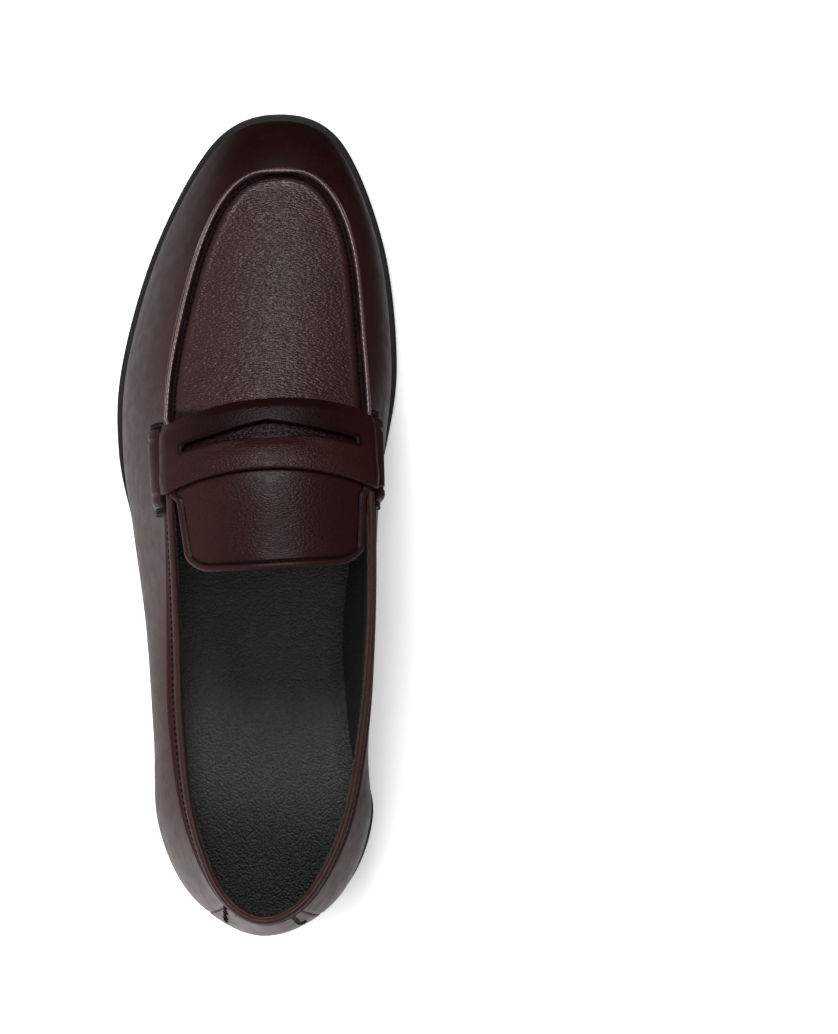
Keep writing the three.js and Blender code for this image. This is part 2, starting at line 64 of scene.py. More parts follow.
# The last in millimetres, as 20 stations round the shoe: the first at the back of the heel, on along
# the outer side to the toe tip and back along the inner side. Each holds the sole's edge x, y; the
# welt's visible width; the upper edge x, y, z; and the wall's low bulge, high bulge and final rise.
STATIONS = np.array([
    (4.4, -146.5, 1.0, 5.9, -138.6, 84, 8, 5, 0.4),
    (-21.2, -135.5, 1.2, -9, -129.5, 79.5, 5, 4.5, 0.38),
    (-33.5, -110, 1.2, -19, -105, 70, 5, 8, 0.3),
    (-32.5, -78, 0.3, -23.3, -73, 63, 7.5, 8, 0.2),
    (-36.3, -42, 0.3, -24.6, -38, 65, 6, 9, 0.25),
    (-44.2, -6, 1.4, -26, 2, 77, 4, 9, 0.35),
    (-50.6, 24, 2.8, -27.4, 28, 70, 2, 11, 0.3),
    (-49.3, 57, 3.3, -25.8, 57, 59, 2, 13, 0.25),
    (-36.3, 101, 3.3, -16.8, 96, 50, 2, 12, 0.22),
    (-14.6, 137.9, 3.2, -5.5, 117.5, 44, 2, 10, 0.2),
    (9, 147.4, 3.2, 10.3, 123.5, 41.5, 2, 10, 0.2),
    (31, 138, 3.0, 25.5, 118, 43.5, 2, 9, 0.2),
    (46.6, 101, 2.6, 35.6, 97, 49.5, 2, 8, 0.25),
    (51.6, 58, 2.4, 39.8, 60, 57.5, 2, 8, 0.3),
    (47.8, 27, 1.8, 42, 30, 69, 3, 6, 0.4),
    (39.5, -4, 0.4, 43.5, 2, 77.5, 5, 4.2, 0.42),
    (34.5, -42, 0.3, 43.6, -38, 67.5, 6, 1.5, 0.42),
    (36.5, -78, 0.3, 40.3, -74, 64, 6, 3.7, 0.4),
    (43.1, -108, 1.6, 34, -107, 70, 3, 5, 0.38),
    (31, -136, 1.5, 21.5, -131, 79.5, 4.4, 5, 0.38),
])
HEEL_HEIGHT, TOE_SPRING = 18.0, 10.0
OUTSOLE, WELT = 5.5, 3.0
NOTCH = 0.25                   # share of the round from the toe tip to the tongue's notch
HEEL_SEAM = 3 / 80             # half width of the heel panel, as a share of the round
FRAME_RUNGS = 56               # facets of the frame's sole outline
ROUND = 640                    # length of the sole's edge all the way round, in millimetres


# ------------------------------------------------------------------ the last
def along(columns, u):
    """Closed Catmull-Rom curve through some station columns: the usual cubic blend of four neighbours."""
    rows = STATIONS[:, columns]
    n = len(rows)
    t = (np.asarray(u, float) % 1.0) * n
    i = np.floor(t).astype(int)
    f = (t - i)[..., None]
    a, b, c, d = rows[(i - 1) % n], rows[i % n], rows[(i + 1) % n], rows[(i + 2) % n]
    return 0.5 * (2 * b + (c - a) * f + (2 * a - 5 * b + 4 * c - d) * f**2 + (3 * b - a - 3 * c + d) * f**3)


def smooth(t):
    """Smoothstep: 3t squared minus 2t cubed, with t held between 0 and 1."""
    t = np.clip(t, 0, 1)
    return t * t * (3 - 2 * t)


def ground(y):
    """Underside of the sole: lifted by a smoothstep towards the heel and by a parabola towards the toe."""
    return HEEL_HEIGHT * smooth((20 - y) / 100) + TOE_SPRING * np.clip((y - 70) / 79, 0, None) ** 2


def unit(v):
    return v / np.maximum(np.linalg.norm(v, axis=-1, keepdims=True), 1e-12)


def sole_edge(u):
    return along([0, 1], u)


def upper_edge(u):
    return along([3, 4, 5], u)


def outward(u):
    """Level direction square to the sole's edge, away from the shoe."""
    d = sole_edge(np.asarray(u) + 1e-3) - sole_edge(np.asarray(u) - 1e-3)
    return unit(np.stack([-d[..., 1], d[..., 0]], -1))


def sole_inset(u, inset):
    """The sole's edge moved inwards by some millimetres, in plan."""
    return sole_edge(u) - outward(u) * np.asarray(inset)[..., None]


def lift(xy, height):
    """Plan points raised to a height above the sole's underside."""
    z = ground(xy[..., 1]) + height
    return np.concatenate([xy, z[..., None]], -1)


def bezier(p0, p1, p2, p3, t):
    """Cubic Bezier through its four points."""
    t = t[..., None]
    s = 1 - t
    return s**3 * p0 + 3 * s * s * t * p1 + 3 * s * t * t * p2 + t**3 * p3


def wall_handles(u):
    """Foot and top of the wall at u, with the Bezier handles that bulge it outwards between them."""
    foot = lift(sole_inset(u, along([2], u)[..., 0]), OUTSOLE + WELT)
    top = upper_edge(u)
    bulge = along([6, 7, 8], u)
    out = np.concatenate([outward(u), np.zeros(np.shape(u) + (1,))], -1)
    rise = (top[..., 2] - foot[..., 2])[..., None] * np.array([0, 0, 1.0])
    return foot, top, out * bulge[..., :1] + rise * 0.33, out * bulge[..., 1:2] - rise * bulge[..., 2:]


def wall(u, v):
    """Outer face of the wall: one Bezier from the welt (v = 0) to the upper edge (v = 1) at each u."""
    u, v = np.broadcast_arrays(np.asarray(u, float), np.asarray(v, float))
    foot, top, low, high = wall_handles(u)
    return bezier(foot, foot + low, top + high, top, v)


def rung_end(w, side):
    """Where a rung of the apron meets the seam, and how steeply the skin rises there."""
    inside = w - 0.008 * np.logaddexp(0, (w - NOTCH) / 0.008)
    _, top, _, high = wall_handles(0.5 + side * inside)
    back = 0.03
    seam = (upper_edge(0.5 + side * NOTCH) - upper_edge(0.5 + side * (NOTCH - back))) / back
    return top + seam * (w - inside)[..., None], -unit(high)[..., 2:]


def apron_surface(w, s):
    """Outer face of apron and tongue: an arched Bezier from seam to seam, w from the toe backwards."""
    w, s = np.broadcast_arrays(np.asarray(w, float), np.asarray(s, float))
    left, rise_l = rung_end(w, -1)
    right, rise_r = rung_end(w, 1)
    across = right - left
    crown = 0.33 * np.linalg.norm(across, axis=-1, keepdims=True)
    crown = crown * (0.45 + 1.4 * np.minimum(w, 1.3 * NOTCH))[..., None]
    third = across * np.array([1, 1, 0]) / 3
    up = np.array([0, 0, 1.0])
    return bezier(left, left + third + up * rise_l * crown, right - third + up * rise_r * crown, right, s)


def skin(w, c):
    """The whole upper: c below 0 on the outer wall, 0 to 1 across the apron, above 1 on the inner wall."""
    w, c = np.broadcast_arrays(np.asarray(w, float), np.asarray(c, float))
    middle = apron_surface(w, np.clip(c, 0, 1))
    outer = wall(0.5 - w, np.clip(1 + c, 0, 1))
    inner = wall(0.5 + w, np.clip(2 - c, 0, 1))
    return np.where((c < 0)[..., None], outer, np.where((c > 1)[..., None], inner, middle))


def apron_height(x, y):
    """Height of the apron's surface over plan points, by four Newton steps on its two parameters."""
    table = np.linspace(0, 0.34, 200)
    w = np.interp(-y, -apron_surface(table, 0.5)[:, 1], table)
    left, right = rung_end(w, -1)[0][..., 0], rung_end(w, 1)[0][..., 0]
    s = (x - left) / np.maximum(right - left, 1)
    e = 1e-3
    for _ in range(4):
        p = apron_surface(w, s)
        dw = (apron_surface(w + e, s) - p) / e
        ds = (apron_surface(w, s + e) - p) / e
        rx, ry = x - p[..., 0], y - p[..., 1]
        det = dw[..., 0] * ds[..., 1] - dw[..., 1] * ds[..., 0]
        det = np.where(np.abs(det) < 1, np.where(det < 0, -1.0, 1.0), det)
        w = np.clip(w + np.clip((rx * ds[..., 1] - ry * ds[..., 0]) / det, -0.02, 0.02), 0.001, 0.34)
        s = np.clip(s + np.clip((ry * dw[..., 0] - rx * dw[..., 1]) / det, -0.3, 0.3), -0.3, 1.3)
    return apron_surface(w, s)[..., 2]


def frame_shift():
    """How far the last's own coordinates lie from the frame's, from the outsole's box."""
    low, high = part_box("outsole")
    edge = sole_edge(np.arange(FRAME_RUNGS) / FRAME_RUNGS)
    middle = (edge.min(0) + edge.max(0)) / 2
    return np.array([(low[0] + high[0]) / 2 / MM - middle[0], (low[1] + high[1]) / 2 / MM - middle[1], 0.0])


SHIFT = frame_shift()


def to_frame(points):
    return (points + SHIFT) * MM


# ------------------------------------------------------------------ mesh makers
def add_mesh(name, points, faces, attributes=None):
    """A mesh object from points in millimetres and faces of any size, welded and facing outwards."""
    mesh = bpy.data.meshes.new(name)
    mesh.from_pydata(to_frame(points), [], faces)
    for key, values in (attributes or {}).items():
        layer = mesh.attributes.new(key, "FLOAT", "POINT")
        layer.data.foreach_set("value", np.asarray(values, np.float32).ravel())
    bm = bmesh.new()
    bm.from_mesh(mesh)
    bmesh.ops.remove_doubles(bm, verts=bm.verts, dist=2e-7)
    bmesh.ops.dissolve_degenerate(bm, edges=bm.edges, dist=1e-8)
    bmesh.ops.recalc_face_normals(bm, faces=bm.faces)
    bm.to_mesh(mesh)
    bm.free()
    mesh.shade_smooth()
    piece = bpy.data.objects.new(name, mesh)
    bpy.context.collection.objects.link(piece)
    return piece


def grid_quads(ni, nj, start=0, loop_i=False, loop_j=False):
    """Quads of an ni by nj grid of points numbered row by row, closed on itself where asked."""
    i = np.arange(ni if loop_i else ni - 1)[:, None]
    j = np.arange(nj if loop_j else nj - 1)[None, :]
    i2, j2 = (i + 1) % ni, (j + 1) % nj
    q = np.stack([i * nj + j, i2 * nj + j, i2 * nj + j2, i * nj + j2], -1).reshape(-1, 4)
    return q + start


def strip_quads(a, b):
    """Quads between two rows of point numbers."""
    return np.stack([a[:-1], a[1:], b[1:], b[:-1]], -1)


def grid_normals(p, loop=False):
    """Unit normals of a grid of points: the cross product of its two difference directions."""
    q = np.concatenate([p[-1:], p, p[:1]]) if loop else p
    d0 = np.gradient(q, axis=0)
    d0 = d0[1:-1] if loop else d0
    return unit(np.cross(d0, np.gradient(p, axis=1)))


def zoned(length, fine_zone=4.0, fine=0.18, coarse=0.9, ends=(True, True)):
    """Shares from 0 to 1 along a length, close together near its ends and wider in the middle."""
    n = max(4, int(fine_zone / fine))
    edge = np.linspace(0, 1, n + 1) ** 1.3 * fine_zone
    low = edge if ends[0] else np.array([0.0, fine_zone])
    high = edge if ends[1] else np.array([0.0, fine_zone])
    middle = np.linspace(fine_zone, length - fine_zone, max(2, int((length - 2 * fine_zone) / coarse)))
    return np.concatenate([low[:-1], middle, (length - high)[::-1][1:]]) / length


def rounded(d, radius):
    """How far an edge with that radius has dropped at distance d from it: a quarter circle."""
    t = 1 - np.clip(d / radius, 0, 1)
    return radius * (1 - np.sqrt(np.clip(1 - t * t, 0, 1)))


def bump(d, centre, width):
    """A smooth hump of height 1 at a centre, gone at half a width on each side: raised cosine."""
    t = np.clip(np.abs(d - centre) / (width / 2), 0, 1)
    return 0.5 + 0.5 * np.cos(np.pi * t)


def edge_distance(p, use=(True, True, True, True)):
    """Distance of each grid point from the nearest used border, measured along the grid's lines."""
    far = np.full(p.shape[:2], 1e3)
    for axis in (0, 1):
        step = np.linalg.norm(np.diff(p, axis=axis), axis=-1)
        run = np.concatenate([np.zeros_like(np.take(step, [0], axis)), np.cumsum(step, axis)], axis)
        total = np.take(run, [-1], axis)
        if use[2 * axis]:
            far = np.minimum(far, run)
        if use[2 * axis + 1]:
            far = np.minimum(far, total - run)
    return far


def sheet_piece(name, p, normal, top, bottom, attributes=None):
    """A closed sheet over a grid: points p moved along their normals by top and by bottom."""
    ni, nj = p.shape[:2]
    upper = p + normal * top[..., None]
    lower = p + normal * bottom[..., None]
    index = np.arange(ni * nj).reshape(ni, nj)
    back = index + ni * nj
    faces = np.concatenate([
        grid_quads(ni, nj), grid_quads(ni, nj, ni * nj),
        strip_quads(index[0], back[0]), strip_quads(index[-1], back[-1]),
        strip_quads(index[:, 0], back[:, 0]), strip_quads(index[:, -1], back[:, -1]),
    ])
    both = {k: np.concatenate([v.ravel(), v.ravel()]) for k, v in (attributes or {}).items()}
    return add_mesh(name, np.concatenate([upper.reshape(-1, 3), lower.reshape(-1, 3)]), faces.tolist(), both)


def disc_grid(outline, centre, fine_zone, fine, coarse, radius, turn=9):
    """Plan points from an outline inwards: first square to it, then straight to the centre."""
    ahead = np.roll(outline, -1, 0) - np.roll(outline, 1, 0)
    inward = unit(np.stack([-ahead[:, 1], ahead[:, 0]], -1))
    if np.sum((centre - outline) * inward) < 0:
        inward = -inward
    # Turned gradually past the corners, so that the inner rings never cross.
    window = np.hanning(2 * turn + 3)[1:-1]
    wrapped = np.concatenate([inward[-turn:], inward, inward[:turn]])
    inward = unit(np.stack([np.convolve(wrapped[:, k], window, "valid") for k in (0, 1)], -1))
    curve = radius * (1 - np.cos(np.linspace(0, np.pi / 2, 6)))
    edge = np.concatenate([curve, np.arange(radius, fine_zone, fine)[1:], [fine_zone]])
    near = outline[:, None] + inward[:, None] * edge[None, :, None]
    reach = np.linalg.norm(centre - near[:, -1], axis=-1).max()
    t = np.linspace(0, 1, max(4, int(reach / coarse)) + 1)[1:-1]
    far = near[:, -1:] + (centre - near[:, -1:]) * t[None, :, None]
    run = np.linalg.norm(far - near[:, -1:], axis=-1) + fine_zone
    xy = np.concatenate([near, far], 1)
    d = np.concatenate([np.broadcast_to(edge, near.shape[:2]), run], 1)
    return xy, d


def disc_piece(name, outline, centre, base, top, bottom, side=(), fine_zone=4.5, fine=0.25, coarse=1.4,
               radius=0.6, upright=False, attributes=None):
    """A closed plate over a plan outline. base gives its height; top and bottom its two faces, as
    functions of the distance from the edge and the plan point; side lists (inset, height) at the rim."""
    xy, d = disc_grid(outline, np.asarray(centre, float), fine_zone, fine, coarse, radius)
    ni, nj = d.shape
    p = np.concatenate([xy, base(xy[..., 0], xy[..., 1])[..., None]], -1)
    n = grid_normals(p, loop=True)
    n = n * np.sign(n[..., 2:])
    if upright:
        n = np.broadcast_to(np.array([0, 0, 1.0]), n.shape)
    upper = p + n * top(d, p)[..., None]
    lower = p + n * bottom(d, p)[..., None]
    middle = np.array([*centre, base(np.array([centre[0]]), np.array([centre[1]]))[0]])[None]
    deep = np.array([d.max()])
    poles = [middle + n[:1, -1] * f(deep, middle)[..., None] for f in (top, bottom)]
    inward = unit(xy[:, 1] - xy[:, 0])
    rims = [p[:, 0] + np.concatenate([inward * a, np.full((ni, 1), h)], -1) for a, h in side]
    points = np.concatenate([upper.reshape(-1, 3), lower.reshape(-1, 3), *poles, *rims])
    count = ni * nj
    rows = [np.arange(ni) * nj]
    rows += [2 * count + 2 + k * ni + np.arange(ni) for k in range(len(rims))]
    rows += [count + np.arange(ni) * nj]
    close = lambda r: np.append(r, r[0])
    faces = [*grid_quads(ni, nj, 0, loop_i=True).tolist(), *grid_quads(ni, nj, count, loop_i=True).tolist()]
    for a, b in zip(rows[:-1], rows[1:]):
        faces += strip_quads(close(a), close(b)).tolist()
    for k, first in enumerate((0, count)):
        last = close(first + np.arange(ni) * nj + nj - 1)
        faces += [(int(a), int(b), 2 * count + k) for a, b in zip(last[:-1], last[1:])]
    values = {}
    for key, f in (attributes or {}).items():
        v = f(d, p).ravel()
        tail = np.full(2 + ni * len(rims), v.mean())
        values[key] = np.concatenate([v, v, tail])
    return add_mesh(name, points, faces, values)


def swept_piece(name, path, x_axis, y_axis, profile, closed, attributes=None):
    """A closed profile carried along a path: each point is path + x axis times x + y axis times y."""
    profile = np.broadcast_to(profile, (len(path),) + np.shape(profile)[-2:])
    p = path[:, None] + x_axis[:, None] * profile[..., :1] + y_axis[:, None] * profile[..., 1:]
    ni, nj = p.shape[:2]
    faces = grid_quads(ni, nj, 0, loop_i=closed, loop_j=True).tolist()
    if not closed:
        faces += [list(range(nj)), list(range((ni - 1) * nj, ni * nj))]
    values = {k: np.broadcast_to(v, (ni, nj)) for k, v in (attributes or {}).items()}
    return add_mesh(name, p.reshape(-1, 3), faces, values)


def threads(name, start, end, normal, radius, rise):
    """Stitches: for each start and end point, a short six-sided thread that arches along the normal."""
    t = np.array([0, 0.1, 0.3, 0.5, 0.7, 0.9, 1.0])
    thick = np.array([0.45, 0.8, 1, 1, 1, 0.8, 0.45]) * radius
    arch = rise * np.sqrt(np.clip(1 - (2 * t - 1) ** 2, 0, 1))
    run = unit(end - start)
    side = unit(np.cross(run, normal))
    up = np.cross(side, run)
    spine = start[:, None] + (end - start)[:, None] * t[None, :, None] + normal[:, None] * arch[None, :, None]
    a = np.arange(6) * np.pi / 3
    ring = side[:, None, None] * np.cos(a)[:, None] + up[:, None, None] * np.sin(a)[:, None]
    p = spine[:, :, None] + ring * thick[None, :, None, None]
    count = len(t) * 6
    one = grid_quads(len(t), 6, 0, loop_j=True)
    first = np.arange(len(start))[:, None, None] * count
    faces = (one[None] + first).reshape(-1, 4).tolist()
    caps = np.stack([np.arange(6), np.arange(6) + count - 6])
    faces += (caps[None] + first).reshape(-1, 6).tolist()
    return add_mesh(name, p.reshape(-1, 3), faces)


def along_curve(points, normals, pitch, length, margin=1.0):
    """Start, end and normal of stitches set at an even pitch along a curve."""
    run = np.concatenate([[0], np.cumsum(np.linalg.norm(np.diff(points, axis=0), axis=1))])
    at = np.arange(margin, run[-1] - margin - length, pitch)
    pick = lambda s, rows: np.stack([np.interp(s, run, rows[:, k]) for k in range(3)], -1)
    return pick(at, points), pick(at + length, points), unit(pick(at + length / 2, normals))


# ------------------------------------------------------------------ colours and sizes
def linear(hex_colour):
    """sRGB hex to a linear colour with alpha 1: the standard curve, a power of 2.4 above the toe."""
    s = np.array([int(hex_colour[k:k + 2], 16) for k in (1, 3, 5)]) / 255
    value = np.where(s <= 0.04045, s / 12.92, ((s + 0.055) / 1.055) ** 2.4)
    return (*value.tolist(), 1.0)


def colour(label, description, hex_colour):
    return bpy.props.FloatVectorProperty(
        name=label, description=description, default=linear(hex_colour),
        subtype="COLOR", size=4, min=0, max=1)


def length(label, description, millimetres):
    return bpy.props.FloatProperty(
        name=label, description=description, default=millimetres * MM,
        subtype="DISTANCE", unit="LENGTH", min=0)


class LoaferColours(bpy.types.PropertyGroup):
    leather: colour("Leather", "Oxblood calf of the wall and apron", "#4F2F2B")
    # This dark colour also paints shade: in grooves and channels, round the slot, under the strap and on
    # sides turned from the light.
    leather_dark: colour("Burnish", "Darker, burnished leather along seams and at the toe", "#240E0D")
    strap: colour("Strap leather", "Redder calf of strap and tongue", "#45231F")
    binding: colour("Binding", "Brown leather of the topline binding", "#4A2F2A")
    raw_edge: colour("Raw edge", "Cut edge of tan leather", "#8A5F44")
    lining: colour("Lining", "Black leather lining and sock", "#484945")
    thread: colour("Thread", "Waxed sewing thread", "#130C0B")
    rubber: colour("Rubber", "Sole and welt rubber", "#1E1D1B")
    floor: colour("Floor", "Studio floor", "#F4F4F4")


class LoaferSizes(bpy.types.PropertyGroup):
    leather: length("Leather", "Thickness of the upper leather", 1.3)
    lining: length("Lining", "Thickness of the lining", 0.65)
    strap: length("Strap", "Thickness of the strap", 1.6)
    grain: length("Grain", "Size of one ripple of the apron's grain", 0.43)
    pebble: length("Pebble", "Size of one pebble of the lining", 0.85)
    stitch: length("Stitch", "Pitch of the fine stitching", 2.2)


def colours():
    return bpy.context.scene.loafer_colours


def sizes():
    return bpy.context.scene.loafer_sizes


# ------------------------------------------------------------------ materials
def node(tree, kind, inputs=None, **settings):
    """Adds a node with its settings; inputs maps a socket to a value or to another node's output."""
    made = tree.nodes.new(kind)
    for key, value in settings.items():
        setattr(made, key, value)
    for key, value in (inputs or {}).items():
        if isinstance(value, bpy.types.NodeSocket):
            tree.links.new(value, made.inputs[key])
        else:
            made.inputs[key].default_value = value
    return made


def new_material(name):
    """An empty material with a Principled shader; returns the material, its tree and the shader."""
    material = bpy.data.materials.new(name)
    material.use_nodes = True
    tree = material.node_tree
    tree.nodes.clear()
    shader = node(tree, "ShaderNodeBsdfPrincipled")
    node(tree, "ShaderNodeOutputMaterial", {"Surface": shader.outputs[0]})
    return material, tree, shader


def grain_coordinates(tree, stretch=(1, 1, 1), turn=0.0):
    """Object coordinates, stretched and turned for a grain that runs one way."""
    place = node(tree, "ShaderNodeTexCoord")
    mapping = node(tree, "ShaderNodeMapping", {
        "Vector": place.outputs["Object"], "Scale": stretch, "Rotation": (0, 0, turn)})
    return mapping.outputs[0]


def calf(name, light, dark, ripple, stretch, depth, roughness, coat=0.0, gloss=0.3, pores=0.25):
    """Aniline calf, plated and wax polished: near-black red-brown with cloudy burnish, and a point attribute
    that adds burnish, painted shade and painted highlight; a fine crosswise ripple whose crests catch the
    light, and pores. ripple and depth are the grain's size and height in mm."""
    material, tree, shader = new_material(name)
    flat = grain_coordinates(tree)
    across = grain_coordinates(tree, stretch)
    # Cloudy depth of colour from the dye: patches about 18 mm and 5 mm across.
    cloud = node(tree, "ShaderNodeTexNoise", {"Vector": flat, "Scale": 1 / 0.018, "Detail": 3.0})
    mottle = node(tree, "ShaderNodeTexNoise", {"Vector": flat, "Scale": 1 / 0.005, "Detail": 2.0})
    waves = node(tree, "ShaderNodeTexVoronoi", {
        "Vector": across, "Scale": 1 / (ripple * MM), "Randomness": 1.0}, feature="SMOOTH_F1")
    fine = node(tree, "ShaderNodeTexNoise", {"Vector": across, "Scale": 2.2 / (ripple * MM), "Detail": 2.0})
    # The attribute darkens the colour, and lightens it where negative: burnish in places, painted shade and
    # painted highlight in others.
    burnish_and_painted_light = node(tree, "ShaderNodeAttribute", attribute_name="burnish_and_painted_light")
    shade = node(tree, "ShaderNodeMath", {0: cloud.outputs[0], 1: 0.25, 2: burnish_and_painted_light.outputs["Fac"]},
                 operation="MULTIPLY_ADD")
    shade2 = node(tree, "ShaderNodeMath", {0: mottle.outputs[0], 1: 0.25, 2: shade.outputs[0]},
                  operation="MULTIPLY_ADD")
    ramp = node(tree, "ShaderNodeMapRange", {0: shade2.outputs[0], 1: 0.15, 2: 0.85, 3: 0.0, 4: 1.0})
    tint = node(tree, "ShaderNodeMix", {0: ramp.outputs[0], 6: light, 7: dark}, data_type="RGBA")
    # The bottoms of the grain hold more dye than its crests.
    valley = node(tree, "ShaderNodeMapRange", {
        0: waves.outputs["Distance"], 1: 0.25, 2: 0.75, 3: 1.0, 4: 0.72})
    deep = node(tree, "ShaderNodeMix", {0: 1.0, 6: tint.outputs[2], 7: valley.outputs[0]},
                data_type="RGBA", blend_type="MULTIPLY")
    wear = node(tree, "ShaderNodeMapRange", {0: mottle.outputs[0], 1: 0.3, 2: 0.7,
                                             3: roughness - 0.05, 4: roughness + 0.07})
    height = node(tree, "ShaderNodeMath", {0: fine.outputs[0], 1: -pores, 2: waves.outputs["Distance"]},
                  operation="MULTIPLY_ADD")
    flatness = node(tree, "ShaderNodeAttribute", attribute_name="grain")
    amount = node(tree, "ShaderNodeMapRange", {0: flatness.outputs["Fac"], 1: 0.0, 2: 1.0, 3: 0.12, 4: 1.0})
    raised = node(tree, "ShaderNodeMath", {0: height.outputs[0], 1: amount.outputs[0]}, operation="MULTIPLY")
    bump_node = node(tree, "ShaderNodeBump", {
        "Height": raised.outputs[0], "Distance": depth * MM, "Strength": 1.0}, invert=True)
    tree.links.new(deep.outputs[2], shader.inputs["Base Color"])
    tree.links.new(wear.outputs[0], shader.inputs["Roughness"])
    tree.links.new(bump_node.outputs[0], shader.inputs["Normal"])
    # Where the attribute darkens the leather, as burnish and as painted shade, its shine falls to under half.
    polish = node(tree, "ShaderNodeMapRange", {
        0: burnish_and_painted_light.outputs["Fac"], 1: 0.2, 2: 1.0, 3: gloss, 4: 0.4 * gloss})
    tree.links.new(polish.outputs[0], shader.inputs["Specular IOR Level"])
    shader.inputs["Coat Weight"].default_value = coat
    shader.inputs["Coat Roughness"].default_value = 0.35
    return material


def pebbled_lining(name, base):
    """Pebbled pigskin lining, finished matt black: small rounded pebbles with creases between them."""
    material, tree, shader = new_material(name)
    place = grain_coordinates(tree)
    size = sizes().pebble
    pebbles = node(tree, "ShaderNodeTexVoronoi", {"Vector": place, "Scale": 1 / size}, feature="F1")
    small = node(tree, "ShaderNodeTexNoise", {"Vector": place, "Scale": 3 / size, "Detail": 3.0})
    cloud = node(tree, "ShaderNodeTexNoise", {"Vector": place, "Scale": 1 / 0.02, "Detail": 2.0})
    brown = node(tree, "ShaderNodeAttribute", attribute_name="brown")
    shade = node(tree, "ShaderNodeAttribute", attribute_name="shade")
    lit = tuple(min(1.0, c * 1.5) for c in base[:3]) + (1.0,)
    # Painted shade: the shade attribute darkens the colour down to a quarter.
    painted_shade = node(tree, "ShaderNodeMapRange", {0: shade.outputs["Fac"], 3: 1.0, 4: 0.25})
    even = node(tree, "ShaderNodeMix", {0: cloud.outputs[0], 6: base, 7: lit}, data_type="RGBA")
    tint = node(tree, "ShaderNodeMix", {0: 1.0, 6: even.outputs[2], 7: painted_shade.outputs[0]},
                data_type="RGBA", blend_type="MULTIPLY")
    edge = node(tree, "ShaderNodeMix", {0: brown.outputs["Fac"], 6: tint.outputs[2],
                                        7: tuple(colours().leather_dark)}, data_type="RGBA")
    height = node(tree, "ShaderNodeMath", {0: small.outputs[0], 1: -0.5, 2: pebbles.outputs["Distance"]},
                  operation="MULTIPLY_ADD")
    bump_node = node(tree, "ShaderNodeBump", {
        "Height": height.outputs[0], "Distance": 0.48 * MM, "Strength": 1.0}, invert=True)
    rough = node(tree, "ShaderNodeMapRange", {0: cloud.outputs[0], 3: 0.34, 4: 0.44})
    tree.links.new(edge.outputs[2], shader.inputs["Base Color"])
    tree.links.new(rough.outputs[0], shader.inputs["Roughness"])
    tree.links.new(bump_node.outputs[0], shader.inputs["Normal"])
    return material


def fine_grained(name, dark, light, size, depth, roughness, metallic=0.0, stretch=(1, 1, 1)):
    """A surface with one scale of speckle and relief, in mm: rubber, board, cork, canvas, foam or steel."""
    material, tree, shader = new_material(name)
    place = grain_coordinates(tree, stretch)
    speckle = node(tree, "ShaderNodeTexNoise", {"Vector": place, "Scale": 1 / (size * MM), "Detail": 4.0})
    patch = node(tree, "ShaderNodeTexNoise", {"Vector": place, "Scale": 0.12 / (size * MM), "Detail": 2.0})
    blendf = node(tree, "ShaderNodeMath", {0: speckle.outputs[0], 1: patch.outputs[0]}, operation="ADD")
    share = node(tree, "ShaderNodeMapRange", {0: blendf.outputs[0], 1: 0.7, 2: 1.3})
    tint = node(tree, "ShaderNodeMix", {0: share.outputs[0], 6: dark, 7: light}, data_type="RGBA")
    rough = node(tree, "ShaderNodeMapRange", {
        0: speckle.outputs[0], 3: roughness - 0.08, 4: roughness + 0.08})
    bump_node = node(tree, "ShaderNodeBump", {
        "Height": speckle.outputs[0], "Distance": depth * MM, "Strength": 1.0})
    tree.links.new(tint.outputs[2], shader.inputs["Base Color"])
    tree.links.new(rough.outputs[0], shader.inputs["Roughness"])
    tree.links.new(bump_node.outputs[0], shader.inputs["Normal"])
    shader.inputs["Metallic"].default_value = metallic
    return material


def matt(name, level):
    """Takes the shine off a fibrous surface."""
    shader = next(n for n in bpy.data.materials[name].node_tree.nodes if n.type == "BSDF_PRINCIPLED")
    shader.inputs["Specular IOR Level"].default_value = level


def finish_piece(piece, material, body, slot, *nodes):
    """Gives a new piece its material and its body, and hides the CAD nodes it stands for; its slot argument
    is not used.
    """
    piece.data.materials.clear()
    piece.data.materials.append(material)
    if body:
        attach(piece, body)
    if nodes:
        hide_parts(*nodes)
    return piece


def material(name):
    return bpy.data.materials[name]


# ------------------------------------------------------------------ shapes of the pieces
def strap_front(c):
    """Front edge of the strap: bowed back at its ends, as a share of the round."""
    t = 2 * np.clip(c, 0, 1) - 1
    return 0.1785 + 0.0135 * t**2 - 0.004 * np.clip(t, 0, None)


def strap_rear(c):
    """Rear edge of the strap, bowed back the same way."""
    t = 2 * np.clip(c, 0, 1) - 1
    return 0.224 + 0.0155 * t**2 - 0.003 * np.clip(t, 0, None)


def strap_share(e, c):
    """Place on the strap, from its front edge (e = 0) to its rear edge (e = 1)."""
    return strap_front(c) + (strap_rear(c) - strap_front(c)) * e


def slot_front(c):
    """Front edge of the slot, as a share of the strap's depth: a pointed arch over a straight line."""
    return 0.405 - 0.095 * np.clip(1 - np.abs(c - 0.5) / 0.3, 0, None) ** 1.5


def slot_rear(c):
    """Rear edge of the slot: straight, and leaning forwards over its inner half."""
    return 0.515 - 0.03 * np.clip(2 * c - 1, 0, None)


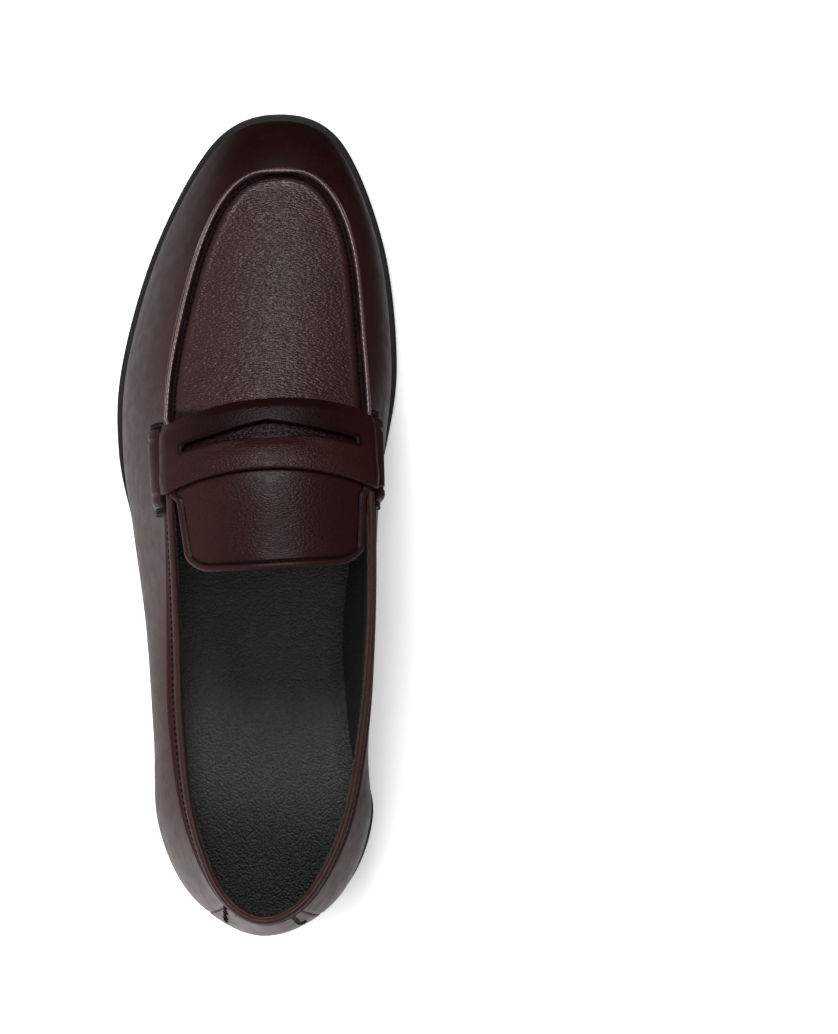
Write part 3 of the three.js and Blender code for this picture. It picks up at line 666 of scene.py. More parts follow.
def wall_shell(name, u0, u1, top_offset, bottom_offset, v0=0.0, v1=1.0, foot=1.2, side_round=0.5,
               top_round=0.5, steps=1.6, extra=None):
    """A layer of the wall between two offsets, which may depend on the height share v."""
    count = max(12, int((u1 - u0) * ROUND / steps))
    u = np.linspace(u0, u1, count)
    v = v0 + (v1 - v0) * zoned(66, 7.0, 0.45, 2.2, ends=(False, True))
    p = wall(u[:, None], v[None])
    n = -grid_normals(p)
    if foot:
        sunk = p[:, :1] - np.array([0, 0, foot])
        p = np.concatenate([sunk, p], 1)
        n = np.concatenate([n[:, :1], n], 1)
        v = np.concatenate([[v[0]], v])
    d_side = edge_distance(p, (bool(side_round), bool(side_round), False, False))
    d_top = edge_distance(p, (False, False, False, True))
    vv = np.broadcast_to(v[None], p.shape[:2])
    top = np.broadcast_to(top_offset(vv), vv.shape).astype(float)
    if side_round:
        top = top - rounded(d_side, side_round)
    if top_round:
        top = top - rounded(d_top, top_round)
    bottom = np.broadcast_to(bottom_offset(vv), vv.shape)
    values = extra(u[:, None] + 0 * vv, vv, d_side, d_top) if extra else {}
    return sheet_piece(name, p, n, top, np.minimum(bottom, top - 0.2), values)


def seam_frame(u):
    """Along the upper edge: its points and tangents, down the wall, into the apron, and both normals."""
    t = upper_edge(u)
    tangent = unit(upper_edge(u + 1e-3) - upper_edge(u - 1e-3))
    down = unit(wall(u, 0.97) - t)
    side = np.where(u < 0.5, 0.04, 0.96)
    w = np.abs(u - 0.5)
    near = apron_surface(np.maximum(w, 0.02), side) - apron_surface(np.maximum(w, 0.02), np.round(side))
    toe = np.array([0, -1, 0.18])
    share = smooth(w / 0.03)[:, None]
    inward = unit(unit(near) * share + unit(toe) * (1 - share))
    inward = unit(inward - tangent * np.sum(inward * tangent, -1, keepdims=True))
    out = unit(np.cross(down, tangent))
    out = out * np.sign(out[:, 2:] + 1e-9)
    up = unit(np.cross(tangent, inward))
    up = up * np.sign(up[:, 2:])
    return t, tangent, down, inward, out, up


# The raised seam in section: millimetres across it, from the wall to the apron, and heights there.
PIPING_X = np.array([-3.3, -3.15, -3.05, -2.95, -2.8, -2.62, -2.45, -2.2, -1.8, -1.5, -1.3, -1.12, -0.95,
                     -0.75, -0.5, -0.25, 0, 0.25, 0.45, 0.6, 0.7, 0.76, 0.8])
PIPING_H = np.array([-0.25, 0.02, 0.24, 0.36, 0.4, 0.34, 0.2, 0.1, 0.08, 0.12, 0.3, 0.7, 1.1,
                     1.45, 1.68, 1.8, 1.84, 1.78, 1.55, 1.2, 0.6, 0.0, -0.8])


def piping_patch():
    """The raised apron seam: a profile of fold, stitched channel and rope crest carried along the seam."""
    reach = 0.192
    u = np.linspace(0.5 - reach, 0.5 + reach, int(2 * reach * ROUND / 0.45))
    t, _, _, inward, out, up = seam_frame(u)
    w = np.abs(u - 0.5)
    spread = 0.25 + 0.75 * smooth(w / 0.15)
    x = np.where(PIPING_X < -1.0, -1.0 + (PIPING_X + 1.0) * spread[:, None], PIPING_X[None])
    share = smooth((x + 1.2) / 2.0)[..., None]
    base_out = wall(u[:, None] + 0 * x, 1 - np.clip(-x, 0, None) / np.linalg.norm(
        wall(u, 0.97) - t, axis=-1)[:, None] * 0.03)
    base_in = t[:, None] + inward[:, None] * np.clip(x, 0, None)[..., None]
    base = np.where((x < 0)[..., None], base_out, base_in)
    n = unit(out[:, None] * (1 - share) + up[:, None] * share)
    arc = np.concatenate([[0], np.cumsum(np.linalg.norm(np.diff(t, axis=0), axis=-1))])
    # The crest is drawn in by each stitch, every 2.2 mm, like a fine rope.
    pulled = 0.07 * np.cos(2 * np.pi * arc / (sizes().stitch / MM))[:, None] * bump(x, 0.0, 2.0)
    h = np.broadcast_to(PIPING_H, x.shape) + pulled
    # The seam sinks under the strap at both ends.
    sunk = smooth((reach - w) / 0.004)[:, None]
    # Painted shade in the stitched channel; painted highlight along the crest and on the outer fold.
    burnish_and_painted_light = 0.6 + 0.4 * bump(x, -1.6, 1.6) - 0.95 * bump(x, -0.1, 1.35) - 0.5 * bump(x, -2.8, 0.9)
    return sheet_piece("apron_piping_leather", base, n, h * (0.35 + 0.65 * sunk), np.full(x.shape, -0.9),
                       {"burnish_and_painted_light": burnish_and_painted_light, "grain": np.full(x.shape, 0.25)})


def apron_outline(inset, rear, count):
    """Closed plan outline of the apron: the seam moved inwards, and the rear edge bowed under the strap."""
    w_end = float(strap_share(rear, np.array(0.0)))
    u = np.linspace(0.5 - w_end, 0.5 + w_end, count)
    edge = upper_edge(u)[:, :2]
    ahead = unit(upper_edge(u + 1e-3)[:, :2] - upper_edge(u - 1e-3)[:, :2])
    inward = np.stack([ahead[:, 1], -ahead[:, 0]], -1)
    side = edge + inward * inset
    c = np.linspace(0.98, 0.02, 60)
    back = apron_surface(strap_share(rear, c), c)[:, :2]
    return resample(np.concatenate([side, back]), 0.8)


def resample(outline, step):
    """A closed plan outline with its points evenly spaced."""
    ring = np.concatenate([outline, outline[:1]])
    run = np.concatenate([[0], np.cumsum(np.linalg.norm(np.diff(ring, axis=0), axis=1))])
    at = np.linspace(0, run[-1], int(run[-1] / step) + 1)[:-1]
    return np.stack([np.interp(at, run, ring[:, k]) for k in (0, 1)], -1)


def ring_arc(p):
    """Distance along a disc's outline for each of its points."""
    edge = p[:, 0]
    step = np.linalg.norm(edge - np.roll(edge, 1, 0), axis=-1)
    return np.cumsum(step)[:, None] + 0 * p[..., 0]


def apron_top(d, p):
    """Apron relief: a sunk stitched groove beside the piping, drawn into small pleats, then the flat."""
    if p.ndim < 3:
        return 0 * d
    pleat = 0.09 * np.sin(2 * np.pi * ring_arc(p) / (sizes().stitch / MM)) * bump(d, 1.7, 2.2)
    groove = -1.0 * (1 - smooth((d - 0.35) / 1.5))
    return groove + pleat + 0.12 * bump(d, 3.2, 3.0)


def tongue_outline(corner, inset=0.0):
    """Closed plan outline of the tongue: root under the strap, straight sides, round rear corners."""
    c0, c1, rear = -0.004, 1.0, 0.2885
    t = np.linspace(0, np.pi / 2, 16)
    width, depth = 64.0, 46.0
    rs, rc = corner / depth, corner / width
    line = np.linspace(0, 1, 40)
    side_l = np.stack([line * (1 - rs), 0 * line], -1)
    arc_l = np.stack([1 - rs + rs * np.sin(t), rc - rc * np.cos(t)], -1)
    back = np.stack([0 * line + 1, rc + line * (1 - 2 * rc)], -1)
    arc_r = np.stack([1 - rs + rs * np.cos(t), 1 - rc + rc * np.sin(t)], -1)
    side_r = np.stack([(1 - line) * (1 - rs), 0 * line + 1], -1)
    root = np.stack([0 * line, 1 - line], -1)
    q = np.concatenate([side_l, arc_l[1:], back[1:], arc_r[1:], side_r[1:], root[1:-1]])
    span, share = q[:, 0], q[:, 1]
    # At the notch each side steps in from under the topline in a small round hook, then runs back straight.
    hook = 0.032 * smooth((span - 0.14) / 0.11) + 0.05 * np.clip(span - 0.22, 0, None)
    left = c0 + hook + inset / width
    right = c1 - 0.6 * hook - inset / width
    c = left + (right - left) * share
    start = strap_share(0.86, c)
    w = start + (rear - 0.0085 * share - inset / ROUND - start) * span
    return resample(apron_surface(w, c)[:, :2], 0.5)


# ------------------------------------------------------------------ operators
class LOAFER_OT_materials(bpy.types.Operator):
    """Makes the leathers, linings, rubber and board"""
    bl_idname = "loafer.materials"
    bl_label = "Materials"
    bl_options = {"REGISTER", "UNDO"}

    def execute(self, context):
        c = colours()
        dark = tuple(c.leather_dark)
        grain = sizes().grain / MM
        # Plated calf of the wall: smooth, with only a faint pore.
        calf("Box calf", tuple(c.leather), dark, 0.7, (0.7, 1, 1), 0.12, 0.36, coat=0.05, gloss=0.24)
        # The same calf on the raised seam, made lighter as a painted highlight along its crest, and glossier.
        calf("Rubbed calf", linear("#84605A"), dark, 0.8, (1, 1, 1), 0.05, 0.28, coat=0.8, gloss=0.6)
        # Milled calf of the apron: ripples across the shoe, three times as long as they are wide.
        calf("Milled calf", tuple(c.leather), dark, grain, (0.32, 1, 0.8), 0.42, 0.33, gloss=0.52)
        # Redder calf of strap and tongue: finer grain, and less wax.
        calf("Strap calf", tuple(c.strap), dark, 0.45, (0.5, 1, 1), 0.24, 0.36, coat=0.04, gloss=0.23)
        # Skived calf folded over the topline: nearly plain, and duller.
        calf("Binding calf", tuple(c.binding), tuple(c.strap), 0.8, (1, 1, 1), 0.04, 0.42)
        # Pigskin of linings and sock, embossed with pebbles and finished black.
        pebbled_lining("Black pigskin", tuple(c.lining))
        rubber = tuple(c.rubber)
        # Moulded thermoplastic rubber: matt black, a shade greyer where the mould was rough.
        fine_grained("Moulded rubber", rubber, tuple(1.35 * x for x in rubber[:3]) + (1,), 0.7, 0.03, 0.62)
        fine_grained("Heel rubber", tuple(0.7 * x for x in rubber[:3]) + (1,), rubber, 0.9, 0.05, 0.7)
        # Waxed polyester thread: near black, with hardly any shine.
        fine_grained("Waxed thread", tuple(c.thread), tuple(c.leather_dark), 0.25, 0.05, 0.7)
        matt("Waxed thread", 0.2)
        # Cut edge of the binding: fibrous tan leather, matt.
        fine_grained("Raw tan edge", tuple(c.strap), tuple(c.raw_edge), 0.35, 0.06, 0.75)
        # Pressed cork granules, brown and dull.
        fine_grained("Granulated cork", linear("#7A5230"), linear("#B98A5A"), 1.6, 0.3, 0.9)
        # Board of ground leather fibres, flat tan.
        fine_grained("Leatherboard", linear("#8F6F48"), linear("#BD9B6C"), 0.5, 0.08, 0.85)
        # Resin-stiffened cotton, with its threads showing one way.
        fine_grained("Cotton canvas", linear("#9C8C70"), linear("#C9BC9F"), 0.6, 0.12, 0.9, stretch=(3, 1, 1))
        # Foamed latex, grey and open-pored.
        fine_grained("Latex foam", linear("#4A4844"), linear("#6A6762"), 0.8, 0.2, 0.9)
        # Rolled steel strip, brushed lengthwise by the rolls.
        fine_grained("Spring steel", linear("#8A8C8E"), linear("#A9ABAD"), 0.3, 0.01, 0.35, 1.0, (12, 1, 1))
        return {"FINISHED"}


class LOAFER_OT_sole(bpy.types.Operator):
    """Builds the outsole, the welt, the heel block and its rubber tip"""
    bl_idname = "loafer.sole"
    bl_label = "Sole and heel"
    bl_options = {"REGISTER", "UNDO"}

    def execute(self, context):
        u = np.linspace(0, 1, 640, endpoint=False)
        outline = resample(sole_edge(u)[::-1], 1.1)

        def tread(d, p):
            """Underside: a flat border, then fine cross ribs under the forepart."""
            y = p[..., 1]
            fore = smooth((y - 5) / 12) * smooth((d - 9) / 2)
            return rounded(d, 0.5) + 0.45 * fore * (0.5 + 0.5 * np.cos(2 * np.pi * y / 4.2))

        outsole = disc_piece(
            "outsole_rubber", outline, (3, 5), lambda x, y: ground(y),
            lambda d, p: OUTSOLE - rounded(d, 0.5), tread,
            side=[(0.0, 4.9), (0.0, 3.4), (0.28, 3.2), (0.28, 2.95), (0.0, 2.75), (0.0, 0.6)],
            fine_zone=3.0, fine=0.5, coarse=1.0, radius=0.5, upright=True)
        finish_piece(outsole, material("Moulded rubber"), SHOE, "sole_rubber", "outsole")

        # The welt: its profile, from the outer foot round to the inner one, carried along the sole's edge.
        n = 900
        u = np.linspace(0, 1, n, endpoint=False)
        path = lift(sole_edge(u), OUTSOLE)
        x_axis = np.concatenate([-outward(u), np.zeros((n, 1))], -1)
        y_axis = np.broadcast_to(np.array([0, 0, 1.0]), (n, 3))
        arc = np.concatenate([[0], np.cumsum(np.linalg.norm(np.diff(path, axis=0), axis=-1))])
        rib = 0.1 * (0.5 + 0.5 * np.cos(2 * np.pi * arc / 2.0))
        profile = np.array([
            (0.9, 0.0), (0.45, 0.15), (0.4, 0.4), (0.4, 2.0), (0.45, 2.5), (0.62, 2.8), (0.9, 2.95),
            (1.3, 3.0), (1.8, 2.92), (2.3, 2.86), (2.9, 2.86), (4.5, 2.9), (11, 3.0), (11, 0.0)])
        rows = np.repeat(profile[None], n, 0)
        rows[:, 7:10, 1] -= rib[:, None]
        welt = swept_piece("welt_rubber", path, x_axis, y_axis, rows, True)
        finish_piece(welt, material("Moulded rubber"), SHOE, "welt_rubber", "welt")

        def heel_outline(inset):
            """The heel in plan: the sole's edge round the back, and a hollowed breast across the front."""
            u = np.linspace(-0.146, 0.146, 240)
            back = sole_inset(u, np.full(u.shape, inset))
            b = np.linspace(0, 1, 60)[1:-1, None]
            front = back[-1] * (1 - b) + back[0] * b
            hollow = 3.0 * (1 - (2 * b - 1) ** 2)
            front[:, 1:] -= hollow
            return resample(np.concatenate([back, front]), 1.0)

        layers = [(0.0, 15.0)]
        for z in (13.4, 10.4):
            layers += [(0.0, z), (0.3, z - 0.12), (0.3, z - 0.3), (0.0, z - 0.42)]
        layers += [(0.0, 6.2)]
        block = disc_piece(
            "heel_block_lifts", heel_outline(1.0), (0, -105), lambda x, y: 0 * x,
            lambda d, p: ground(p[..., 1]) - 0.02 + 0 * d, lambda d, p: 5.05 + rounded(d, 0.3),
            side=layers, fine_zone=2.0, fine=0.5, coarse=3, radius=0.3, upright=True)
        finish_piece(block, material("Moulded rubber"), SHOE, "heel_rubber", "heel_block")

        def tip_tread(d, p):
            """Underside of the tip: a border and a fan of short bars, with the nails left clear."""
            x, y = p[..., 0], p[..., 1]
            bars = smooth((d - 6) / 1.5) * (0.5 + 0.5 * np.sign(np.cos(2 * np.pi * (y + 0.25 * x) / 5.0)))
            return rounded(d, 0.6) + 0.6 * bars

        tip = disc_piece(
            "heel_tip_rubber", heel_outline(1.4), (0, -105), lambda x, y: 0 * x,
            lambda d, p: 4.95 - rounded(d, 0.3), tip_tread,
            side=[(0.0, 4.4), (0.0, 0.8)], fine_zone=2.0, fine=0.5, coarse=0.9, radius=0.5, upright=True)
        finish_piece(tip, material("Heel rubber"), SHOE, "sole_rubber", "heel_top_piece")
        return {"FINISHED"}


class LOAFER_OT_sock(bpy.types.Operator):
    """Builds the sock: black leather over the insole, raised on the heel cushion"""
    bl_idname = "loafer.sock"
    bl_label = "Sock"
    bl_options = {"REGISTER", "UNDO"}

    def execute(self, context):
        u = np.linspace(0, 1, 700, endpoint=False)
        v = np.full(u.shape, 0.08)
        for _ in range(5):
            p = wall(u, v)
            slope = (wall(u, v + 1e-3)[:, 2] - p[:, 2]) / 1e-3
            v = np.clip(v + (ground(p[:, 1]) + 12.6 - p[:, 2]) / slope, 0.0, 0.4)
        outline = wall(u, v)[:, :2] - outward(u) * 3.05
        base = lambda x, y: ground(y) + 11.3 + 2.1 * smooth((-45 - y) / 30)
        edge_up = lambda d, p: 1.0 + 0.5 * (1 - smooth(d / 5)) - rounded(d, 0.6)

        def painted_shade(d, p):
            """Painted shade: darker over the heel end and in the corner along the wall."""
            return np.clip(1.0 * smooth((-84 - p[..., 1]) / 40) + 0.5 * (1 - smooth(d / 9)), 0, 1)

        sock = disc_piece("sock_leather", resample(outline[::-1], 1.3), (3, -10), base, edge_up,
                          lambda d, p: 0 * d + 0.1, fine_zone=6, fine=0.6, coarse=2.0, radius=0.6,
                          upright=True, attributes={"shade": painted_shade})
        finish_piece(sock, material("Black pigskin"), SHOE, "black_lining", "sock_liner")
        return {"FINISHED"}


class LOAFER_OT_wall(bpy.types.Operator):
    """Builds the wall of the upper, its heel panel and the linings behind them"""
    bl_idname = "loafer.wall"
    bl_label = "Wall and linings"
    bl_options = {"REGISTER", "UNDO"}

    def execute(self, context):
        leather = sizes().leather / MM

        def burnish_and_painted_light(u, v, d_side, d_top):
            """Darker towards the toe and along the foot; lighter over the upper part of both quarters, as a
            painted highlight.
            """
            toe = bump(u, 0.5, 0.34)
            foot = 1 - smooth(v / 0.3)
            quarter = (smooth((0.28 - u) / 0.1) + smooth((u - 0.84) / 0.06)) * smooth((v - 0.3) / 0.3)
            tone = 0.15 + 0.45 * toe + 0.3 * foot - 0.4 * quarter
            return {"burnish_and_painted_light": np.clip(tone, -0.2, 1),
                    "grain": np.clip(0.5 - 0.4 * toe, 0, 1)}

        wall_piece = wall_shell("wall_leather", HEEL_SEAM, 1 - HEEL_SEAM, lambda v: 0 * v,
                                lambda v: 0 * v - leather, extra=burnish_and_painted_light)
        finish_piece(wall_piece, material("Box calf"), SHOE, "wall_leather", "upper_wall")
        panel = wall_shell("heel_panel_leather", -HEEL_SEAM, HEEL_SEAM, lambda v: 0 * v,
                           lambda v: 0 * v - leather, steps=0.7, extra=burnish_and_painted_light)
        finish_piece(panel, material("Box calf"), SHOE, "wall_leather", "heel_panel")

        thick = sizes().lining / MM

        def lining(name, u0, u1, node_name, reach=1.0):
            """One stretch of lining; it meets the leather again under the topline, by its reach."""
            def face(v):
                return -2.72 + 1.2 * reach * smooth((v - 0.86) / 0.1)

            def brown_and_painted_shade(u, v, d_side, d_top):
                """Brown under the binding at the heel, and darkened all over as painted shade inside the
                walls.
                """
                brown = smooth((v - 0.84) / 0.06) * smooth((0.075 - np.abs(u)) / 0.01)
                return {"brown": brown, "shade": 0.6 + 0 * v}

            piece = wall_shell(name, u0, u1, face, lambda v: face(v) - thick, v1=1 - 0.018 * reach,
                               foot=0, side_round=0.0, top_round=0.3, steps=1.8, extra=brown_and_painted_shade)
            finish_piece(piece, material("Black pigskin"), SHOE, "black_lining", node_name)

        lining("heel_lining_leather", -0.0625, 0.0625, "heel_lining")
        lining("quarter_lining_outer_leather", 0.0625, NOTCH, "quarter_lining_outer")
        lining("quarter_lining_inner_leather", 0.75, 0.9375, "quarter_lining_inner")
        lining("vamp_lining_leather", NOTCH, 0.75, "vamp_lining", 0.0)
        return {"FINISHED"}


class LOAFER_OT_apron(bpy.types.Operator):
    """Builds the apron, the raised seam round it and the lining under it"""
    bl_idname = "loafer.apron"
    bl_label = "Apron"
    bl_options = {"REGISTER", "UNDO"}

    def execute(self, context):
        leather = sizes().leather / MM

        def tone(d, p):
            """Darker in the groove, as painted shade, and under the strap, as painted shadow; a little
            lighter along the outer side, as painted light from that side.
            """
            under = smooth((39 - p[..., 1]) / 4)
            groove = 1 - smooth(d / 3.5)
            outer = smooth((8 - p[..., 0]) / 30)
            return np.clip(0.2 + 0.7 * groove - 0.1 * outer + under, 0, 1)

        grain = lambda d, p: np.clip(0.25 + 0.75 * smooth((d - 2) / 5), 0, 1)
        apron = disc_piece("apron_leather", apron_outline(0.6, 0.86, 420), (8, 72), apron_height,
                           apron_top, lambda d, p: 0 * d - leather - 0.2,
                           fine_zone=4.5, fine=0.22, coarse=1.1, radius=0.3,
                           attributes={"burnish_and_painted_light": tone, "grain": grain})
        finish_piece(apron, material("Milled calf"), SHOE, "apron_leather", "apron")
        under = disc_piece("apron_lining_canvas", apron_outline(1.8, 0.84, 300), (8, 72), apron_height,
                           lambda d, p: 0 * d - 2.9, lambda d, p: 0 * d - 3.6,
                           fine_zone=3, fine=1.0, coarse=3, radius=0.3)
        finish_piece(under, material("Black pigskin"), SHOE, "canvas", "apron_lining")
        finish_piece(piping_patch(), material("Rubbed calf"), SHOE, "wall_leather", "apron_piping")
        # Short stitches in the channel outside the crest and, sunk, along the apron's groove.
        u = np.linspace(0.5 - 0.185, 0.5 + 0.185, 900)
        t, _, down, inward, out, up = seam_frame(u)
        w = np.abs(u - 0.5)
        spread = (1.0 + 0.95 * (0.25 + 0.75 * smooth(w / 0.15)))[:, None]
        pitch = sizes().stitch / MM
        a, b, n = along_curve(t + down * spread * 0.95 + out * 0.12, out, pitch, pitch * 0.62)
        outer = threads("channel_stitches", a, b, n, 0.17, 0.12)
        finish_piece(outer, material("Waxed thread"), SHOE, "wall_leather")
        inner_line = t + inward * 1.75 - up * 0.62
        a, b, n = along_curve(inner_line, up, pitch, pitch * 0.55)
        sunk = threads("apron_stitches", a, b, n, 0.19, 0.16)
        finish_piece(sunk, material("Waxed thread"), SHOE, "wall_leather")
        return {"FINISHED"}


class LOAFER_OT_strap(bpy.types.Operator):
    """Builds the penny strap with its slot, and the padded roll at each end"""
    bl_idname = "loafer.strap"
    bl_label = "Strap"
    bl_options = {"REGISTER", "UNDO"}

    def execute(self, context):
        slot0, slot1 = 0.085, 0.93
        across, deep = 66.0, 29.0
        # Columns across the strap: close together at the slot's two ends.
        zones = [
            (-0.05, -0.02, 10), (-0.02, slot0 - 0.002, 12), (slot0 - 0.002, slot0 + 0.03, 24),
            (slot0 + 0.03, slot1 - 0.03, 110), (slot1 - 0.03, slot1 + 0.002, 24), (slot1 + 0.002, 1.05, 20)]
        c = np.concatenate([np.linspace(a, b, k, endpoint=False) for a, b, k in zones] + [[1.05]])

        # The slot's ends are quarter circles of 0.95 mm; beyond them its two edges meet.
        reach = np.minimum(np.clip(c - slot0, 0, None), np.clip(slot1 - c, 0, None)) * across / 0.95
        opening = np.sqrt(1 - (1 - np.clip(reach, 0, 1)) ** 2)
        middle = (slot_front(c) + slot_rear(c)) / 2
        front = middle + (slot_front(c) - middle) * opening
        rear = middle + (slot_rear(c) - middle) * opening
        shape = (1 - np.cos(np.linspace(0, np.pi, 40))) / 2
        bands = [front[None] * shape[:, None], rear[None] + (1 - rear[None]) * shape[:, None]]
        inside_c = np.clip(c, slot0 + 1e-6, slot1 - 1e-6)
        parts, normals, tops, bottoms, tones, grains = [], [], [], [], [], []
        for e in bands:
            cc = np.broadcast_to(c[None], e.shape)
            p = skin(strap_share(e, cc), cc)
            n = unit(np.cross(skin(strap_share(e, cc) + 2e-3, cc) - skin(strap_share(e, cc) - 2e-3, cc),
                              skin(strap_share(e, cc), cc + 4e-3) - skin(strap_share(e, cc), cc - 4e-3)))
            gap_c = np.abs(cc - inside_c) * across
            gap_e = np.clip(np.maximum(slot_front(inside_c) - e, e - slot_rear(inside_c)), 0, None) * deep
            d_slot = np.hypot(gap_c, gap_e)
            d_slot[-1 if e is bands[0] else 0, (c >= slot0) & (c <= slot1)] = 0
            d_side = np.minimum(cc + 0.05, 1.05 - cc) * across
            d_front, d_rear = e * deep, (1 - e) * deep
            top = 2.35 - rounded(d_slot, 0.55) - rounded(d_side, 0.9) - rounded(d_rear, 0.8)
            top = top - 1.3 * (1 - smooth(d_front / 4.5)) - 0.5 * rounded(d_front, 0.6)
            top = top + 0.35 * bump(d_rear, 5.5, 10)
            if e is bands[1]:
                top = top - 1.5 * smooth(1.25 - np.abs(cc - 0.52) / 0.26) * (1 - smooth(d_slot / 5.5))
            parts.append(p)
            normals.append(n)
            tops.append(np.maximum(top, 0.9))
            bottoms.append(np.full(e.shape, 0.35))
            # Darker round the slot and over the strap's front half, as painted shade, and a little darker
            # towards the inner end, as painted shade on that side.
            front_half = (1 - smooth((e - 0.34) / 0.2)) * bump(cc, 0.5, 1.3)
            dark = 0.15 + 0.8 * (1 - smooth(d_slot / 2.0)) + 0.75 * front_half
            tones.append(np.clip(dark + 0.12 * smooth((cc - 0.6) / 0.4), 0, 1))
            grains.append(np.clip(0.35 + 0.65 * smooth((e - 0.5) / 0.2), 0, 1))
        points, faces, start = [], [], 0
        inside = (c[:-1] >= slot0 - 1e-9) & (c[1:] <= slot1 + 1e-9)
        for k in range(2):
            p, n = parts[k], normals[k]
            ni, nj = p.shape[:2]
            index = np.arange(ni * nj).reshape(ni, nj) + start
            back = index + ni * nj
            points += [(p + n * height[k][..., None]).reshape(-1, 3) for height in (tops, bottoms)]
            faces += [grid_quads(ni, nj, start), grid_quads(ni, nj, start + ni * nj)]
            outer_row, slot_row = (0, -1) if k == 0 else (-1, 0)
            faces += [strip_quads(index[outer_row], back[outer_row])]
            faces += [strip_quads(index[slot_row], back[slot_row])[inside]]
            faces += [strip_quads(index[:, 0], back[:, 0]), strip_quads(index[:, -1], back[:, -1])]
            start += 2 * ni * nj
        tone = np.concatenate([np.tile(t.ravel(), 2) for t in tones])
        grain = np.concatenate([np.tile(t.ravel(), 2) for t in grains])
        strap = add_mesh("strap_leather", np.concatenate(points), np.concatenate(faces).tolist(),
                         {"burnish_and_painted_light": tone, "grain": grain})
        finish_piece(strap, material("Strap calf"), SHOE, "strap_leather", "saddle_strap")

        for side in ("outer", "inner"):
            self.roll(side)
        return {"FINISHED"}

    def roll(self, side):
        """A padded roll: over a patch of the wall its height is a sine across and a rounded box along."""
        a = np.linspace(0, 1, 90)[:, None]
        b = np.linspace(0, 1, 40)[None]
        reach = 0.056 + 0.145 * b + 0 * a
        c = -reach if side == "outer" else 1 + reach
        w = strap_front(c) + 0.001 + a * (strap_rear(c) + 0.0075 - strap_front(c) - 0.001)
        p = skin(w, c)
        n = grid_normals(p) * (-1 if side == "outer" else 1)
        d = edge_distance(p)
        across = np.sin(np.pi * b) ** 0.6
        ends = np.sqrt(1 - (1 - np.clip(np.minimum(a, 1 - a) / 0.1, 0, 1)) ** 2)
        pinch = 1 - 0.16 * (bump(a, 0.16, 0.07) + bump(a, 0.84, 0.07))
        top = 0.35 + 2.9 * across * ends * pinch
        flange = 0.75 * (1 - smooth((d - 0.8) / 0.8))
        piece = sheet_piece(f"strap_roll_{side}_leather", p, n, np.maximum(top, flange), 0 * d - 0.1,
                            {"burnish_and_painted_light": 0.1 + 0.9 * (1 - smooth((d - 0.3) / 0.9)), "grain": 0 * d + 0.25})
        finish_piece(piece, material("Strap calf"), SHOE, "strap_leather", f"strap_roll_{side}")
        # Whip stitches bind each end of the roll.
        spots = np.array([-0.03, 0.005, 0.04, 0.94, 0.975, 1.01])
        lean = 0.018
        c0, c1 = (-0.052, -0.205) if side == "outer" else (1.052, 1.205)

        def at(c, a):
            """A point beside the roll: c across it, a along it."""
            c = np.full(a.shape, c)
            return skin(strap_front(c) + a * (strap_rear(c) + 0.0085 - strap_front(c)), c)

        start, end = at(c0, spots), at(c1, spots + lean)
        up = unit(np.cross(at(c0, spots + 0.02) - start, end - start))
        up = up * np.sign(np.sum(up * n[45, 20], -1, keepdims=True))
        bars = threads(f"whip_stitches_{side}", start + up * 0.3, end + up * 0.1, up, 0.46, 1.1)
        finish_piece(bars, material("Waxed thread"), SHOE, "strap_leather")
        rim = p[4:-4, 36] + n[4:-4, 36] * 0.6
        a, b, m = along_curve(rim, n[4:-4, 36], 1.9, 1.4, 0.2)
        sewn = threads(f"roll_stitches_{side}", a, b, m, 0.26, 0.2)
        finish_piece(sewn, material("Waxed thread"), SHOE, "strap_leather")


